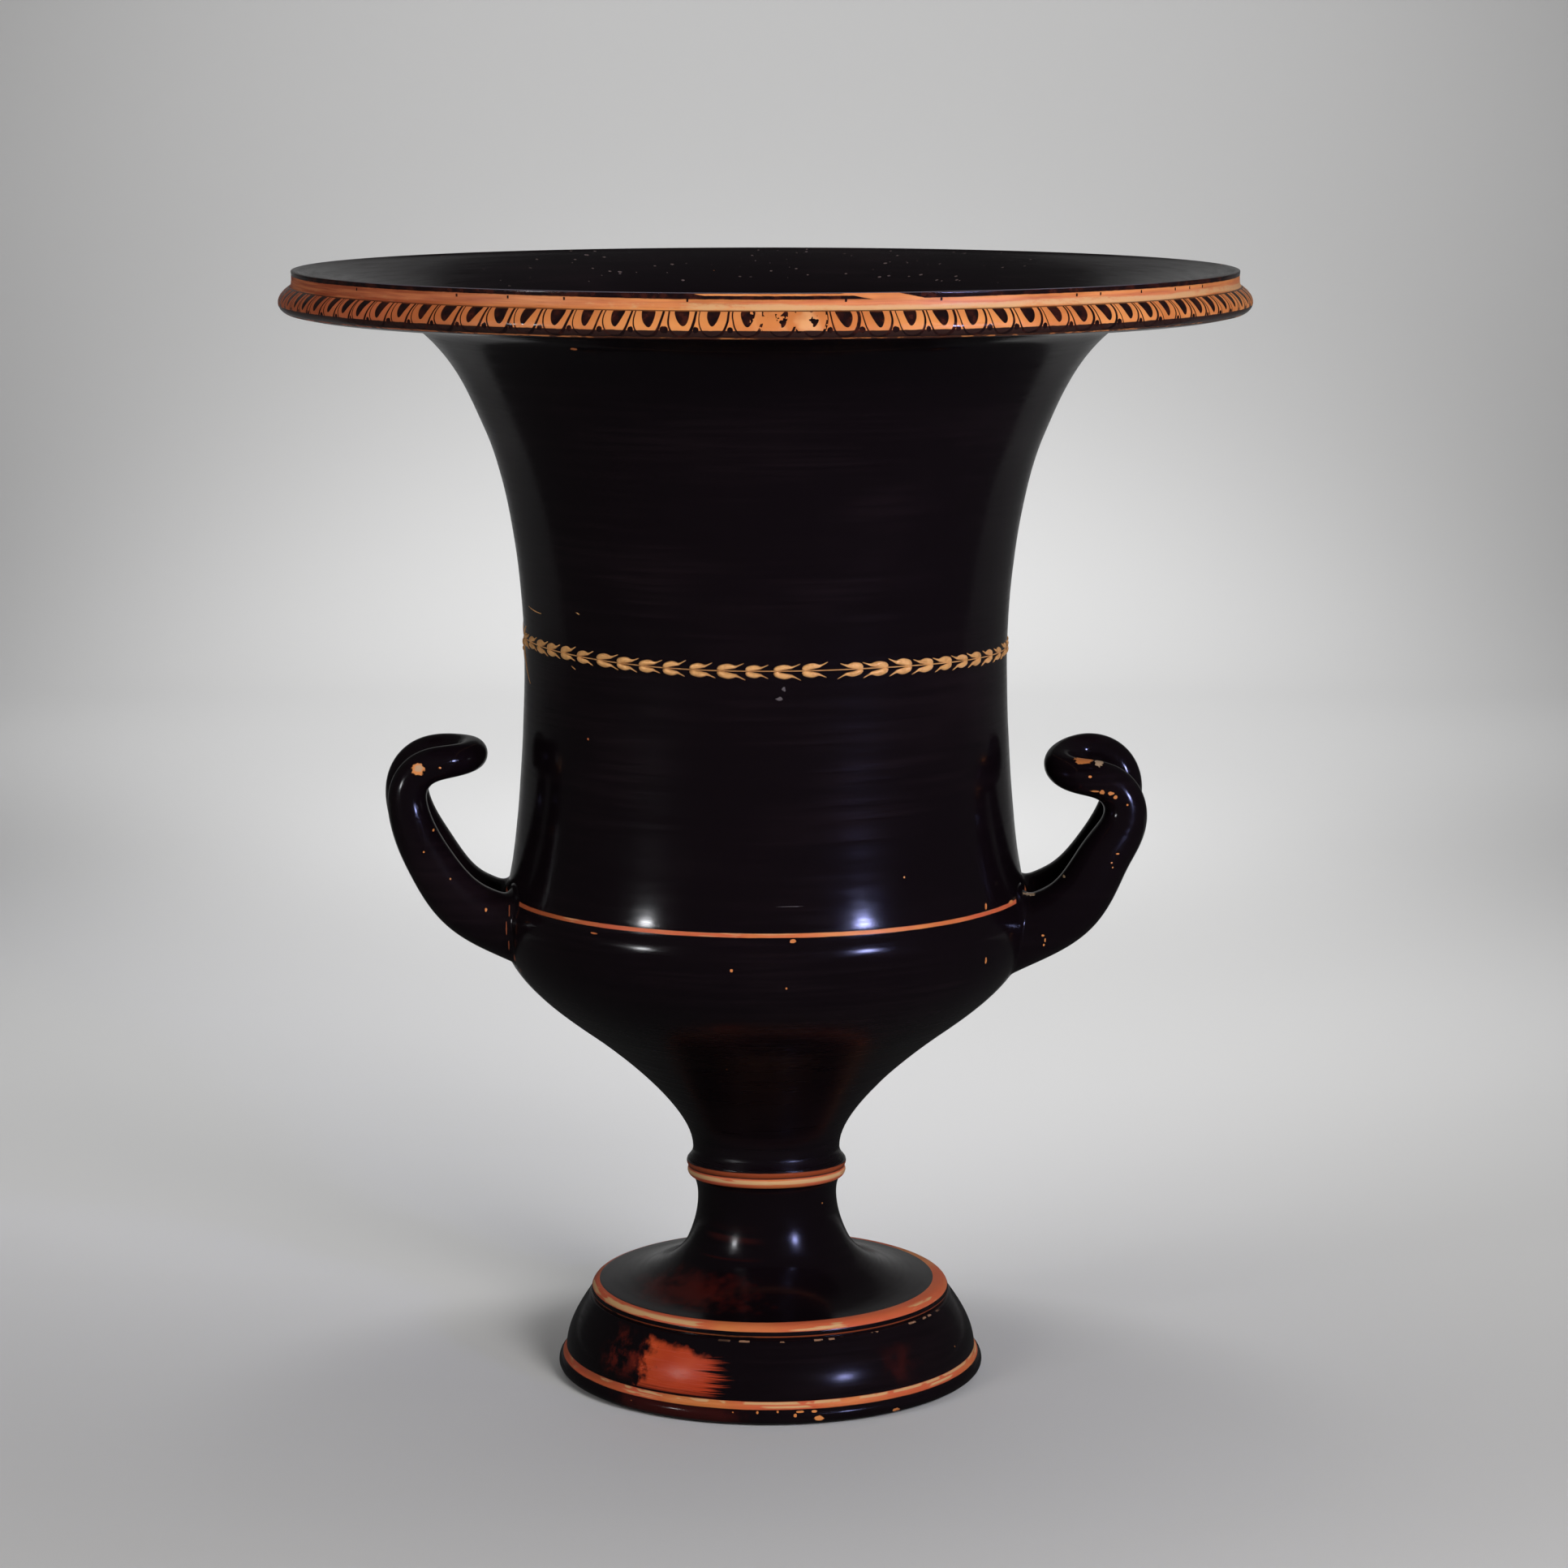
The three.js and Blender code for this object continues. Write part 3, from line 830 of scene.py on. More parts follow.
def lip_fillet(pot, clay, ink_colour, across, chance, wander):
    """The painted fillet above the groove: its colour and the mask of its dark lines."""
    up = pot.height - GROOVE
    mottle = pot.streaks(150, 420, 3, 0.7)
    patch = pot.streaks(16, 30)
    veins = pot.streaks(22, 620, 3, 0.7)
    fine = (pot.grain(300) - 0.5) * 0.7
    long = (pot.streaks(26, 500) - 0.5) * 2.0
    rosy = pot.band(up + fine + long * 0.4, 1.7, 4.6, 0.7) & pot.ease(patch, 0.3, 0.55)
    rightwards = pot.ease(pot.sideways + (patch - 0.5) * 0.5, -0.5, 0.07)
    cream = pot.band(up + fine * 1.2 + (patch - 0.5) * 4 + long * 0.3, 0.65, 3.3, 0.4)
    cream = cream & pot.ease(mottle * 0.6 + patch * 0.5 + rightwards * 0.22, 0.58, 0.78)
    leftwards = pot.ease(pot.sideways * -1 + (patch - 0.5) * 0.6, 0.17, 0.85)
    # The stripe stands clear of the edge near the front, merges with it further round, and
    # breaks once, to the right of the worn eggs.
    tick = (abs(across - 0.1) < 0.035) & (chance > 0.62) & (up > 4.1) & (up < 5.5)
    apart = abs(pot.angle - 2.0 + wander * 8)
    low = 5.2 + pot.ease(apart, 6, 34) * 0.7
    high = 6.85 + pot.ease(apart + fine * 2, 8.5, 13) * 3
    wavy = up + fine * 0.5 + long * 0.12
    stripe = (pot.ease(wavy - low, -0.15, 0.15) & (1 - pot.ease(wavy - high, -0.15, 0.15))) | tick
    arris = pot.ease(up + fine * 0.3, 7.6, 7.85)
    away = abs(pot.angle - 14.1 + (up - 6.0) * 1.2)
    stripe = (stripe | arris) & pot.ease(away + fine * 0.6, 3.0, 3.25)
    # Along the groove a dark line: partly its black painted line, partly painted shade in the groove.
    groove_line_and_shade = 1 - pot.ease(up, 0.3, 0.65)
    lines = stripe | pot.ease(up, 7.9, 8.05) | groove_line_and_shade * 0.8
    # A painted highlight along the lip's top arris, brightest at the front and fading round the sides.
    wear_and_sheen = (up > 7.92) & (pot.radius > LIP_INNER) & pot.ease(abs(pot.angle + 2), 62, 40)
    colour = pot.coats(
        clay,
        (rosy * 0.85, "wash"),
        (pot.ease(veins, 0.5, 0.62) * 0.5, "pale_vein"),
        (pot.ease(veins, 0.47, 0.36) * 0.4, "dark_vein"),
        (cream * 0.85, "cream"),
        (leftwards * 0.5, pot.blend(pot.ease(veins, 0.4, 0.6), "left_fillet", "left_fillet_light")),
        (lines, ink_colour),
        (wear_and_sheen * 0.7, "painted_arris_highlight"),
    )
    return colour, lines


def lip_ornament(pot, clay):
    """The egg row on the rounded lip and the painted fillet above it: mask, colour, dark mask."""
    ink_colour = pot.blend(pot.ease(pot.grain(210), 0.4, 0.75), "ink", "rusty_ink")
    eggs, egg_dark, cell = egg_row(pot, clay, ink_colour)
    fillet, fillet_dark = lip_fillet(pot, clay, ink_colour, *cell)
    on_fillet = (pot.height > GROOVE) & (pot.radius < FILLET_EDGE)
    zone = (pot.radius > LIP_INNER) & (pot.height > LIP_UNDERSIDE)
    return zone, pot.blend(on_fillet, eggs, fillet), pot.blend(on_fillet, egg_dark, fillet_dark)


def reserved_bands(pot, clay):
    """Bands left in the red of the clay, some with traces of wash: shoulder, stem, foot."""
    up = pot.height
    tipped = up - pot.facing * COLLAR_TIP
    fray = pot.streaks(60, 500, 3, 0.65) - 0.5
    slow = (pot.grain(11, 1) - 0.5) * 0.7
    level = up - pot.facing * 0.6 + fray * 0.45 + slow
    shoulder = pot.band(level, SHOULDER_LINE - 0.4, SHOULDER_LINE + 1.5, 0.16) & (pot.radius > 128.3)
    collar = pot.band(tipped + fray * 0.3, 100.4, 105.5, 0.2)
    collar_edge = pot.band(tipped + fray * 0.7 + slow * 0.8, 105.9, 108.3, 0.35)
    # Painted shade in the groove between the collar's two rings.
    crease_shade = pot.band(tipped, 105.3, 105.95, 0.15)
    dish = pot.ease(up + fray * 0.25, 43.3, 43.6) & (pot.radius > 85.3) & (up < 47.2)
    dish_line = pot.band(up + fray * 0.3, 40.7, 41.4, 0.2) & (pot.radius > 89)
    dish_line = dish_line & pot.ease(fray, -0.25, 0.1)
    toe = pot.band(up + fray * 0.35, 8.7, 12.2, 0.18)
    # Traces of cream, full on collar, dish and toe and fainter on the shoulder.
    rub = pot.streaks(24, 300, 3, 0.6)
    patch = pot.grain(19)
    wear_and_sheen = pot.ease(rub + (patch - 0.5) * 0.5, 0.55, 0.60)
    traces = pot.band(tipped, 102.6, 104.6, 0.4) & pot.ease(rub + (patch - 0.5) * 0.9, 0.42, 0.47)
    traces = traces | (pot.band(up, 43.9, 46.0, 0.4) & wear_and_sheen) | (pot.band(up, 9.2, 10.0, 0.2) & wear_and_sheen)
    crust = pot.ease(pot.streaks(90, 160) + pot.sideways * 0.09, 0.44, 0.52)
    traces = traces | (pot.band(up + fray * 0.5, 10.7, 12.0, 0.3) & crust)
    faint = (up > 240.0) * 0.55
    colour = pot.coats(
        clay,
        (pot.ease(patch + rub * 0.3, 0.46, 0.72) * 0.85, "red_band"),
        (traces | (wear_and_sheen & faint), "cream"),
        (collar_edge | dish_line, "rust_edge"),
        (crease_shade, "painted_crease_shade"),
    )
    return shoulder | collar | collar_edge * 0.85 | crease_shade | dish | dish_line * 0.8 | toe, colour


def misfired(pot):
    """Where the kiln turned the gloss red: the brushed patch on the foot and haze round it."""
    brush = pot.streaks(22, 1500, 3, 0.65) - 0.5
    strokes = pot.streaks(12, 480, 2, 0.6) - 0.5
    cloud = pot.grain(60, 4, 0.62) - 0.5
    blots = pot.grain(190, 3, 0.6) - 0.5
    turn, up = pot.angle, pot.height
    # Degrees and millimetres inside the patch from each of its four edges, the least of them ruling.
    right = (-14.0 - turn) * 0.6 + strokes * 7 + brush * 12
    left = (turn + 37.2) * 0.8 + cloud * 12 + blots * 9
    top = 34.0 - up + cloud * 8 + blots * 4 + (turn + 25) * -0.16
    bottom = up - 13.6 + brush * 5 + strokes * 4
    main = pot.ease(pot.least(right, left, top, bottom), -1.2, 2.4) & (up > 11.4)
    outer = pot.least(right + 2.5, left + 15, top + 1.5, bottom + 1.0)
    haze = pot.ease(outer, 0.0, 14.0) * pot.ease(blots + cloud, -0.12, 0.22) & (up > 11.4) & (up < 39.0)
    spread = pot.length((turn + 40) / 30, (pot.radius - 61) / 14)
    dish = 1 - pot.ease(spread + cloud * 2.4 + blots * 1.6, 0.2, 1.4)
    dish = dish & (up > 46.9) & (up < 60.0)
    stem = pot.band(up + strokes * 6, 66, 80, 4) & pot.band(turn, -48, -8, 10)
    stem = stem & pot.ease(strokes, 0.02, 0.16)
    toe = pot.band(up, 1.5, 8.5, 1.0) & pot.band(turn + cloud * 40, -42, -8, 8)
    low = pot.band(up + cloud * 14, 17, 30, 5) & pot.band(turn + cloud * 30, 36, 46, 5)
    return main, haze * 0.7 | dish * 0.24 | stem * 0.12 | toe * 0.15 | low * 0.12


# Damage: each mark has a centre x, y, z and half sizes x, y, z, in millimetres.
CHIPS = (
    (13.3, -130.9, 247.9, 1.6, 3, 0.9),
    (-82.1, -102.1, 246.3, 2.0, 3, 0.45),
    (-16.0, -133.6, 234.25, 0.7, 3, 0.8),
    (10.2, -132.9, 225.4, 0.5, 3, 0.5),
    (107.7, -79.4, 227.7, 0.5, 2, 1.9),
    (-88.1, -145.1, 530.0, 1.6, 6, 0.6),
    (26.2, -105.2, 4.3, 2.4, 4, 1.3),
    (14.6, -107.2, 6.1, 0.8, 4, 0.9),
    (64.1, -87.0, 3.2, 2.2, 4, 1.0),
    (-4.0, -107.9, 7.6, 0.7, 3, 0.6),
    (6.0, -107.9, 7.9, 0.6, 3, 0.5),
    (121.4, -48.3, 251.0, 1.8, 4, 0.9),
    (107.8, -72.8, 253.5, 0.6, 3, 1.6),
    (17.0, -106.8, 7.7, 2.2, 3, 0.5),
    (24.0, -105.4, 7.6, 1.4, 3, 0.6),
    (-16.0, -107.0, 7.4, 0.5, 3, 0.4),
)

SCUFFS = (
    (6.8, -121.2, 362.9, 1.5, 3, 1.0),
    (9.0, -121.0, 367.4, 0.8, 3, 1.4),
    (76.9, -60.1, 263.0, 0.5, 2, 2.2),
    (12.0, -127.0, 264.0, 6.0, 6, 0.12),
)

HANDLE_CHIPS = (
    (-171.6, -41.2, 316.3, 3.3, 6, 2.9),
    (-160.8, -40.1, 316.9, 0.6, 4, 0.5),
    (-164.4, -40.0, 285.6, 0.5, 4, 0.6),
    (-168.8, -46.9, 275.8, 0.45, 4, 0.45),
    (-155.7, -47.9, 262.6, 0.4, 4, 0.5),
    (-138.2, -48.8, 247.2, 0.6, 4, 0.9),
    (158.2, -22.8, 318.4, 4.6, 6, 3.2),
    (163.2, -31.5, 303.7, 2.4, 5, 0.5),
    (166.9, -32.2, 303.4, 1.3, 5, 1.2),
    (171.2, -33.1, 302.8, 1.5, 5, 0.9),
    (173.4, -33.4, 301.1, 0.9, 5, 1.1),
    (160.8, -31.9, 311.1, 0.8, 4, 0.7),
    (179.3, -34.1, 297.2, 0.5, 4, 0.5),
    (174.4, -38.9, 273.5, 0.9, 4, 0.4),
    (171.5, -39.9, 269.2, 0.5, 4, 0.4),
    (172.0, -39.8, 266.8, 0.4, 4, 0.4),
    (137.5, -44.3, 233.4, 0.7, 4, 0.6),
    (138.6, -43.7, 230.9, 0.4, 4, 1.0),
    (138.0, -43.1, 228.3, 0.5, 4, 0.7),
)

PALE_CHIPS = (
    (-171.2, -41.2, 316.6, 2.1, 6, 1.8),
    (165.6, -25.2, 317.2, 2.2, 5, 2.2),
    (131.2, -30.8, 251.9, 3.0, 4, 0.9),
    (148.3, -33.9, 261.2, 0.6, 4, 0.6),
)

# The hairline where the left handle has parted from the bowl, from the shoulder line down.
HAIRLINE = (
    (-126.9, -46.0, 246.6, 0.3, 3, 3.4),
    (-128.2, -49.5, 237.4, 0.3, 3, 3.6),
    (-127.2, -48.6, 229.2, 0.35, 3, 3.0),
    (-124.6, -45.2, 221.8, 0.4, 3, 3.2),
    (-121.9, -44.4, 215.2, 0.4, 3, 2.6),
)


def painted_body(pot, colour, clay, tint, ragged):
    """Misfiring, bands, lip and wear on the gloss of the body: its colour and matte mask."""
    main, haze = misfired(pot)
    bands, band_colour = reserved_bands(pot, clay)
    zone, painted, dark = lip_ornament(pot, clay)
    dashes = pot.ease(pot.streaks(190, 60), 0.53, 0.56)
    dashes = dashes & pot.band(pot.height + ragged * 0.4, 38.7, 39.4, 0.15)
    dashes = dashes & pot.band(pot.angle + (tint - 0.5) * 60, -14.0, 66.0, 6.0)
    dust = pot.pinholes(110, 0.5, 0.1) | pot.pinholes(200, 0.45, 0.14)
    inside = (pot.radius < 231.0) & (pot.height > 545.0) & (abs(pot.angle - 4) > 135.0)
    speck = dust & inside & pot.ease(tint + ragged * 0.2, 0.28, 0.54)
    colour = pot.coats(
        colour,
        (haze, "red_haze"),
        (main * 0.96, pot.blend(pot.ease(tint, 0.35, 0.65), "misfired", "misfired_light")),
        (bands, band_colour),
        (dashes * 0.85, "dash"),
        (zone, painted),
        (pot.spots(SCUFFS, ragged * 1.8) * 0.45, "scuff"),
        (speck * 0.55, "dust"),
    )
    return colour, bands | (zone & (1 - dark)) | main * 0.25


def glazed_clay(name, banded):
    """Black gloss over orange clay, with the painted bands on the body only."""
    pot = PotRecipe(name)
    clouds = pot.streaks(9, 16, 3, 0.55)
    wheel_marks = pot.streaks(14, 420, 3, 0.6)
    tint = pot.grain(24, 3, 0.6)
    patchy = pot.ease(tint, 0.35, 0.65)
    ragged = (pot.grain(700) - 0.5) * 0.9
    # Deep black gloss, thin in clouds and wheel marks.
    colour = pot.blend(pot.ease(clouds * 0.6 + wheel_marks * 0.4, 0.46, 0.72), "gloss", "gloss_thin")
    clay = pot.blend(patchy, "clay", "clay_light")
    bare = matte = pot.pinholes(105, 0.02, 0.045)
    if banded:
        leftwards = pot.ease(pot.sideways * -1 + (tint - 0.5) * 0.6, 0.24, 0.88)
        clay = pot.blend(leftwards * 0.85, clay, pot.blend(patchy, "left_clay", "left_clay_light"))
        colour, matte = painted_body(pot, colour, clay, tint, ragged)
    chips, edge = (CHIPS, 1.0) if banded else (HANDLE_CHIPS, 1.3)
    bare = bare | pot.spots(chips, ragged * edge)
    hairline = pot.spots(HAIRLINE, ragged * 1.8)
    colour = pot.coats(colour, (hairline * 0.7, "hairline"), (bare, clay))
    if not banded:
        colour = pot.blend(pot.spots(PALE_CHIPS, ragged * 1.6) * 0.85, colour, "pale_chip")
    # The lower bowl and the foot are duller, so that they hardly mirror each other.
    duller = pot.ease(pot.height, 236.0, 170.0) * pot.ease(pot.height, 104.0, 116.0) * 0.15
    duller = duller + pot.ease(pot.height, 116.0, 104.0) * 0.035
    fine = pot.streaks(30, 1100, 2, 0.7)
    roughness = (wheel_marks - 0.5) * 0.12 + (clouds - 0.5) * 0.06 + (fine - 0.5) * 0.24
    roughness = roughness + duller + 0.158 + (matte | bare) * 0.26
    height = pot.streaks(16, 22, 1) * 0.6 + wheel_marks * 0.03 + pot.grain(900) * 0.008 - bare * 0.22
    return pot.finish(colour, roughness, height, 0.0004)


def bare_clay():
    """The unglazed underside of the foot."""
    pot = PotRecipe("reserved_clay")
    cloud = pot.grain(26, 4, 0.6)
    rings = pot.noise(pot.radius * 0.5, 1.0, 2.0, 0.5, "1D")
    dirt = pot.grain(140, 3, 0.65)
    colour = pot.blend(pot.ease(cloud, 0.35, 0.65), "clay", "clay_light")
    colour = pot.blend(pot.ease(dirt + cloud * 0.4, 0.66, 0.9) * 0.6, colour, "dirt")
    return pot.finish(colour, 0.72 + (dirt - 0.5) * 0.2, rings * 0.5 + dirt * 0.2, 0.0005)


def gilded_clay():
    """Ochre clay relief with worn gilding, and painted shade low on the relief where it meets the wall."""
    pot = PotRecipe("gilded_clay")
    worn = pot.grain(330, 3, 0.6)
    lift = pot.radius - (WREATH_RADIUS + 0.1)
    colour = pot.coats(
        "gilding",
        (pot.ease(worn, 0.42, 0.7) * 0.45, "rubbed_gilt"),
        # Painted shade where the relief meets the wall.
        ((1 - pot.ease(lift, 0.05, 0.5)) * 0.55, "painted_gilt_shade"),
        (pot.ease(pot.grain(60), 0.55, 0.75) * 0.3, "bright_gilt"),
    )
    return pot.finish(colour, 0.42 + (worn - 0.5) * 0.2, worn, 0.00015, metallic=0.25)


def colour_setting(name, description, *default):
    return FloatVectorProperty(name=name, description=description, subtype="COLOR", default=default)


def length_setting(name, description, default):
    return FloatProperty(name=name, description=description, subtype="DISTANCE", default=default)


def millimetre_setting(name, description, default):
    return FloatProperty(name=name, description=f"{description}, in mm", default=default)


class KraterSizes(PropertyGroup):
    """How finely and how freely the pot is made."""

    turns: IntProperty(name="Turns", description="Facets round the body", default=240, min=48, max=360)
    seed: IntProperty(name="Seed", description="Picks the differences between leaves", default=11)
    lean: millimetre_setting("Right handle lean", "How far its back arm stands above the front one", 4.5)
    drop: millimetre_setting("Right handle drop", "How far it hangs below the left one", 4.5)
    lift: millimetre_setting("Left handle lift", "How far its tip rises", 2.0)


class KraterColours(PropertyGroup):
    """Linear colours of the fired clay, gloss and washes."""

    gloss: colour_setting("Gloss", "Full black gloss", 0.0035, 0.0019, 0.0028)
    gloss_thin: colour_setting("Thin gloss", "Gloss where it was brushed thin", 0.0074, 0.0041, 0.0054)
    clay: colour_setting("Clay", "Fired clay", 0.50, 0.160, 0.043)
    clay_light: colour_setting("Light clay", "Paler fired clay", 0.62, 0.235, 0.068)
    wash: colour_setting("Red wash", "Rosy wash on the fillet", 0.50, 0.145, 0.062)
    cream: colour_setting("Cream", "Pale rubbed slip", 0.56, 0.33, 0.150)
    gilding: colour_setting("Gilding", "Worn gilded clay", 0.76, 0.40, 0.150)


class StudioSettings(PropertyGroup):
    """The floor, the lights and the camera's place."""

    paper: colour_setting("Paper", "Colour of the floor and backdrop", 0.62, 0.62, 0.62)
    gloom: FloatProperty(name="Gloom", description="Light from the dark studio", default=0.03, min=0)
    distance: length_setting("Camera distance", "From the pot's axis", 2.188)
    height: length_setting("Camera height", "Above the floor", 0.66439)
    offset: length_setting("Camera offset", "To the right of the axis", 0.00907)
    pitch: FloatProperty(
        name="Camera pitch", description="Downward tilt", subtype="ANGLE", default=math.radians(9.4)
    )


# The camera's focal length and the picture's width, both in pixels, and the sensor's width in mm.
FOCAL_PIXELS, PICTURE_PIXELS = 5430, 1932
SENSOR_WIDTH = 36.0
# Strength of the pale surround where the camera sees past the paper.
SURROUND = 0.45


def aimed_lamp(name, data, place, target):
    """Hangs a lamp at a place and turns it to a target."""
    lamp = bpy.data.objects.new(name, data)
    bpy.context.scene.collection.objects.link(lamp)
    lamp.location = place
    aim = Vector(target) - Vector(place)
    lamp.rotation_euler = aim.to_track_quat("-Z", "Y").to_euler()
    return lamp


def soft_box(name, place, target, size, power, colour=(1, 1, 1), glossy=True, spread=180):
    """A rectangular soft light aimed at a target, with its beam held to a spread in degrees."""
    data = bpy.data.lights.new(name, "AREA")
    data.shape = "RECTANGLE"
    data.size, data.size_y = size
    data.spread = math.radians(spread)
    data.energy, data.color = power, colour
    aimed_lamp(name, data, place, target).visible_glossy = glossy


def spot_light(name, place, target, degrees, power):
    """A round pool of light with a soft rim, not seen in the gloss."""
    data = bpy.data.lights.new(name, "SPOT")
    data.spot_size, data.spot_blend = math.radians(degrees), 1.0
    data.energy, data.shadow_soft_size = power, 0.3
    aimed_lamp(name, data, place, target).visible_glossy = False


class KRATER_OT_body(Operator):
    """Throws the body with its foot, stem, bowl and lip"""

    bl_idname = "krater.body"
    bl_label = "Throw the body"

    def execute(self, context):
        vertices, faces, bare = body_mesh(context.scene.krater_sizes.turns)
        materials = [glazed_clay("painted_gloss", True), bare_clay()]
        declare(mesh_object("krater_body", vertices, faces, materials, bare))
        return {"FINISHED"}


class KRATER_OT_handles(Operator):
    """Pulls the two upturned handles and joins them to the bowl"""

    bl_idname = "krater.handles"
    bl_label = "Pull the handles"

    def execute(self, context):
        sizes = context.scene.krater_sizes
        wall = Wall()
        gloss = glazed_clay("plain_gloss", False)
        right = handle_stations(sizes.lean, sizes.drop, 0.0)
        left = handle_stations(0.0, 0.0, sizes.lift)
        for name, degrees, stations in (("handle_right", -2, right), ("handle_left", 185, left)):
            vertices, faces = handle_mesh(wall, math.radians(degrees), stations)
            declare(mesh_object(name, vertices, faces, [gloss]))
        return {"FINISHED"}


class KRATER_OT_wreath(Operator):
    """Lays the gilded leaf garlands and their ribbon ends on the wall"""

    bl_idname = "krater.wreath"
    bl_label = "Lay the wreath"

    def execute(self, context):
        dice = random.Random(context.scene.krater_sizes.seed)
        relief = Relief()
        relief.garland(WREATH_LEFT, WREATH_MEETING, WREATH_RIGHT, dice)
        behind = WREATH_LEFT + TAU
        relief.garland(WREATH_RIGHT, (WREATH_RIGHT + behind) / 2, behind, dice)
        relief.ties(WREATH_LEFT)
        relief.ties(WREATH_RIGHT)
        for stroke in STRAY_STROKES:
            points = [(math.radians(turn), height) for turn, height in stroke]
            relief.thread(points, STRAY_WIDTH, STRAY_RISE)
        declare(mesh_object("wreath", relief.vertices, relief.faces, [gilded_clay()]))
        return {"FINISHED"}


def paper_material(name, colour, share):
    """Matte paper, a share of its colour bright."""
    recipe = Recipe(bpy.data.materials.new(name))
    cloth = recipe.noise(recipe.out(recipe.node("ShaderNodeTexCoord"), "Object"), 3.0, 2.0, 0.5)
    full = (*(c * share for c in colour), 1)
    shaded = (*(c * share * 0.9 for c in colour), 1)
    return recipe.finish(recipe.blend(cloth * 0.04, full, shaded), 0.9, None, 0.0, ior=1.3)


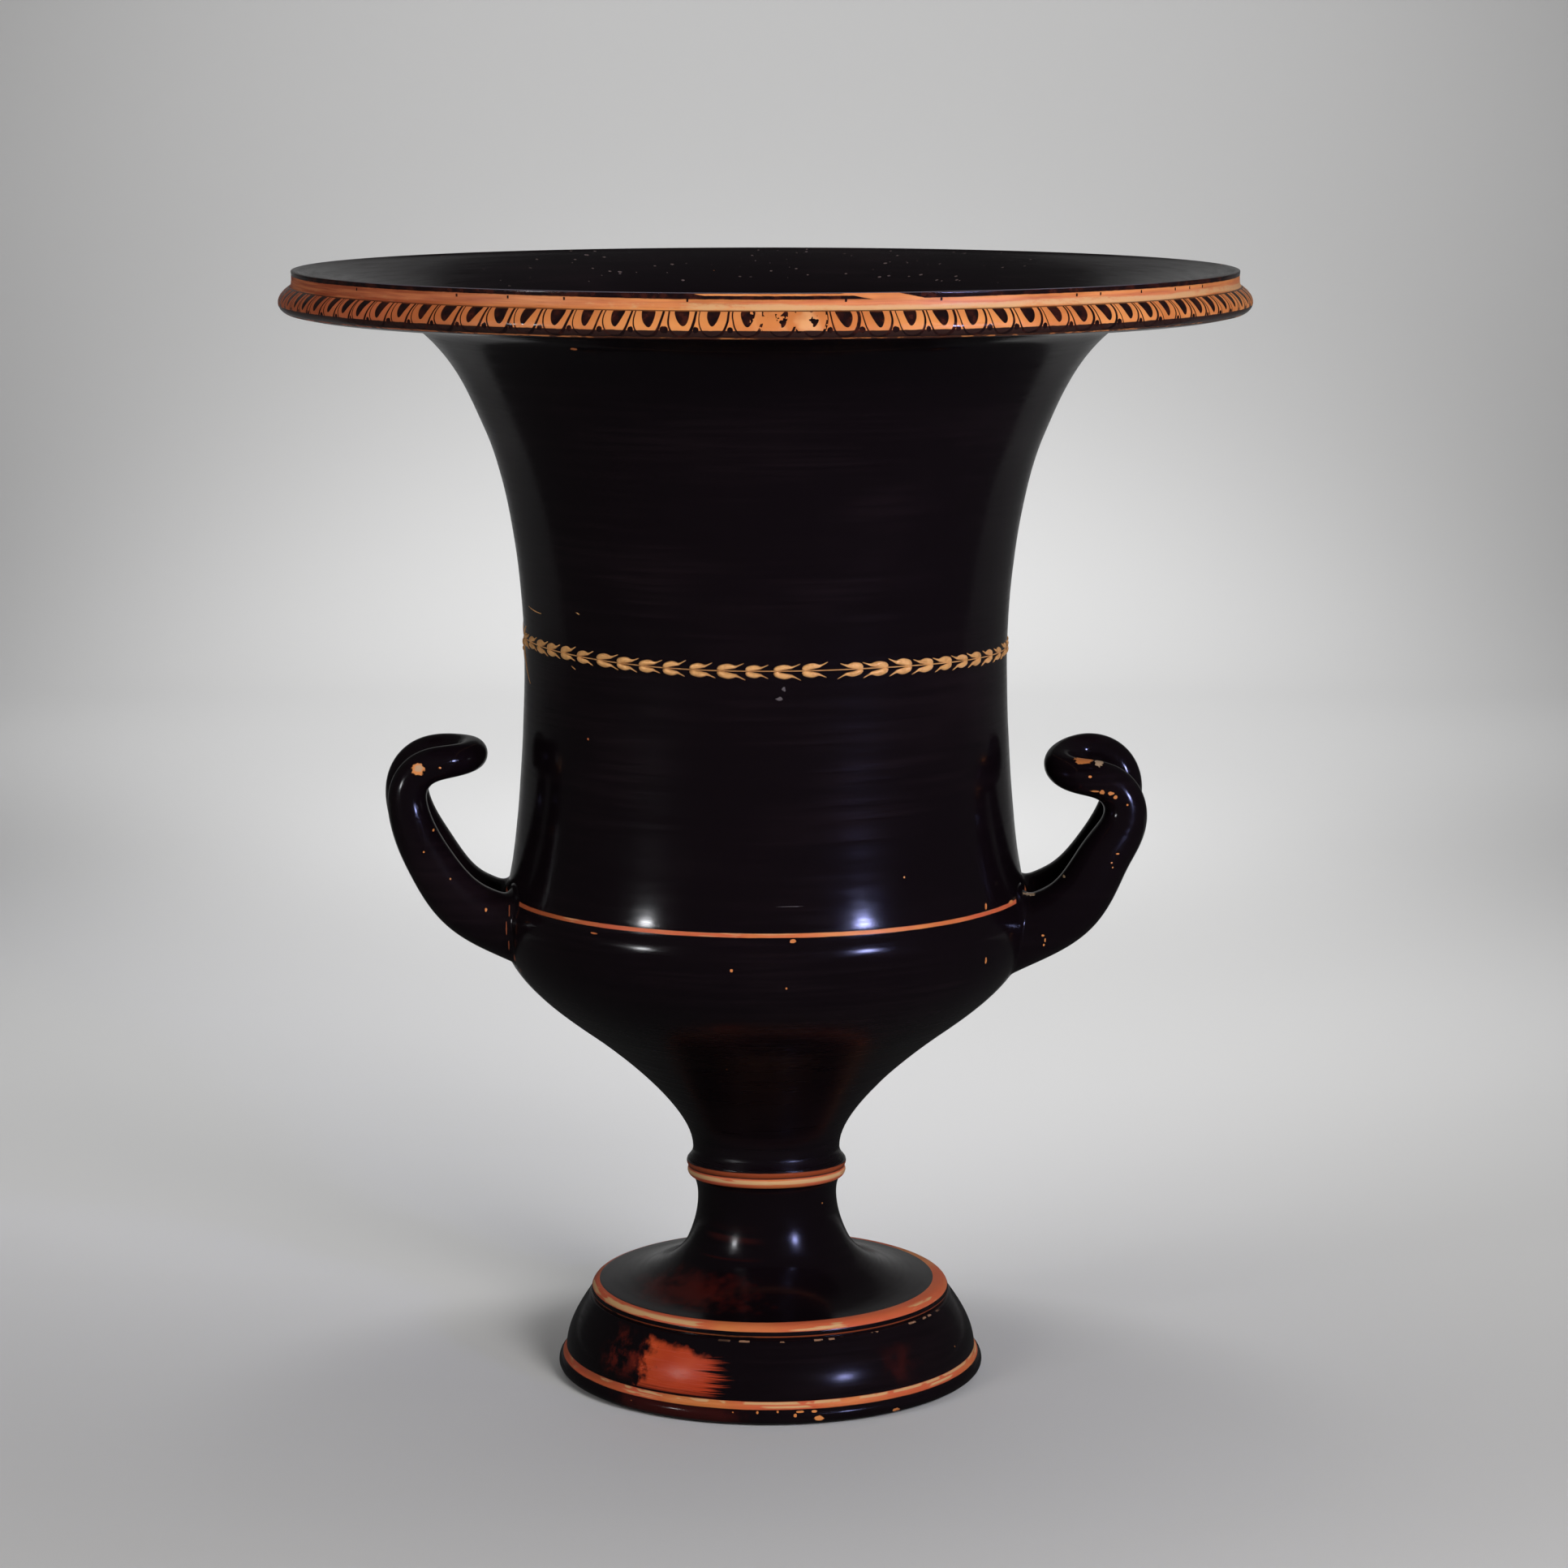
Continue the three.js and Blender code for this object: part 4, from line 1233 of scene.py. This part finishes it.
class KRATER_OT_stage(Operator):
    """Sets the paper floor, the soft lights and the camera"""

    bl_idname = "krater.stage"
    bl_label = "Set the stage"

    def execute(self, context):
        scene = context.scene
        studio = scene.krater_studio
        self.paper(studio)
        self.surround(scene, studio)
        self.lights()
        data = bpy.data.cameras.new("camera")
        data.sensor_width = SENSOR_WIDTH
        data.lens = FOCAL_PIXELS / PICTURE_PIXELS * SENSOR_WIDTH
        camera = bpy.data.objects.new("camera", data)
        scene.collection.objects.link(camera)
        camera.location = (studio.offset, -studio.distance, studio.height)
        camera.rotation_euler = (math.pi / 2 - studio.pitch, 0, 0)
        scene.camera = camera
        scene.view_settings.view_transform = "Standard"
        return {"FINISHED"}

    def paper(self, studio):
        """A floor all round, and a sweep that rises into a backdrop behind the pot."""
        material = paper_material("paper", studio.paper, 1.0)
        near, back, bend, top, half, reach = 0.6, 3.4, 1.0, 2.0, 1.4, 7.0
        line = [(near, 0.0), (back - bend, 0.0)]
        for a in np.linspace(0, math.pi / 2, 33)[1:]:
            line.append((back - bend + bend * math.sin(a), bend - bend * math.cos(a)))
        line.append((back, top))
        vertices = [(x / MM, y / MM, z / MM) for y, z in line for x in (-half, half)]
        faces = [(2 * i, 2 * i + 1, 2 * i + 3, 2 * i + 2) for i in range(len(line) - 1)]
        sweep = mesh_object("paper_sweep", vertices, faces, [material])
        # The same paper as the gloss mirrors it, dimmer and just clear of the sweep.
        strip = [(x * 1.7, y - 2, z + 2) for x, y, z in vertices]
        dim = paper_material("dim_paper", studio.paper, 0.35)
        mirrored = mesh_object("paper_strip", strip, faces, [dim])
        mirrored.visible_camera = mirrored.visible_diffuse = mirrored.visible_shadow = False
        corners = [(-reach, -reach), (reach, -reach), (reach, near), (-reach, near)]
        corners += [(half, near), (reach, near), (reach, reach), (half, reach)]
        corners += [(-reach, near), (-half, near), (-half, reach), (-reach, reach)]
        vertices = [(x / MM, y / MM, 0.0) for x, y in corners]
        faces = [(0, 1, 2, 3), (4, 5, 6, 7), (8, 9, 10, 11)]
        floor = mesh_object("paper_floor", vertices, faces, [material])
        sweep.visible_glossy = floor.visible_glossy = False

    def surround(self, scene, studio):
        """A dark studio, pale only where the camera looks past the paper."""
        scene.world = bpy.data.worlds.new("studio")
        recipe = Recipe(scene.world)
        seen = recipe.out(recipe.node("ShaderNodeLightPath"), "Is Camera Ray")
        strength = seen * (SURROUND - studio.gloom) + studio.gloom
        inputs = {"Color": (1, 1, 1, 1), "Strength": strength}
        background = recipe.node("ShaderNodeBackground", None, inputs)
        recipe.node("ShaderNodeOutputWorld", None, {0: background.outputs[0]})

    def lights(self):
        """Two small soft boxes that glint in the gloss, and wide lights for the paper."""
        middle, high = (0, 0, 0.3), (0, 0, 0.4)
        wide, small = (0.7, 0.7), (0.15, 0.13)
        soft_box("left_fill", (-1.5, -1.5, 1.3), middle, wide, 9, (1.0, 0.98, 0.96), glossy=False)
        soft_box("right_key", (1.0, -1.9, 1.1), middle, wide, 42, (1.0, 0.98, 0.97), glossy=False)
        soft_box("left_glint", (-1.36, -1.05, 0.67), high, small, 0.17, (0.94, 0.96, 1.0), spread=40)
        soft_box("right_glint", (1.17, -1.28, 0.68), high, small, 0.46, (0.46, 0.50, 1.0), spread=40)
        soft_box("overhead", (0, 0.9, 3.4), (0, 0.9, 0), (3.5, 2.4), 36, glossy=False)
        spot_light("backdrop_glow", (0, 0.9, 3.2), (0, 2.2, 0.0), 38, 390)
        spot_light("floor_glow", (0, 0.9, 3.2), (0, 0.9, 0.0), 36, 260)
        spot_light("curve_glow", (0, 0.6, 2.8), (0, 3.3, 0.6), 46, 200)


class KRATER_PT_panel(Panel):
    """The steps and settings in the 3D view's sidebar"""

    bl_idname = "KRATER_PT_panel"
    bl_label = "Krater"
    bl_space_type = "VIEW_3D"
    bl_region_type = "UI"
    bl_category = "Krater"

    def draw(self, context):
        layout = self.layout
        for operator in OPERATORS:
            layout.operator(operator.bl_idname)
        scene = context.scene
        for group in (scene.krater_sizes, scene.krater_colours, scene.krater_studio):
            box = layout.box()
            for name in group.__annotations__:
                box.prop(group, name)


OPERATORS = (KRATER_OT_body, KRATER_OT_handles, KRATER_OT_wreath, KRATER_OT_stage)
CLASSES = (KraterSizes, KraterColours, StudioSettings, *OPERATORS, KRATER_PT_panel)


def register():
    for cls in CLASSES:
        bpy.utils.register_class(cls)
    bpy.types.Scene.krater_sizes = PointerProperty(type=KraterSizes)
    bpy.types.Scene.krater_colours = PointerProperty(type=KraterColours)
    bpy.types.Scene.krater_studio = PointerProperty(type=StudioSettings)


def unregister():
    del bpy.types.Scene.krater_studio
    del bpy.types.Scene.krater_colours
    del bpy.types.Scene.krater_sizes
    for cls in reversed(CLASSES):
        bpy.utils.unregister_class(cls)


def main():
    register()
    bpy.ops.krater.body()
    bpy.ops.krater.handles()
    bpy.ops.krater.wreath()
    bpy.ops.krater.stage()
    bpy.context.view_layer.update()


if __name__ == "__main__":
    main()
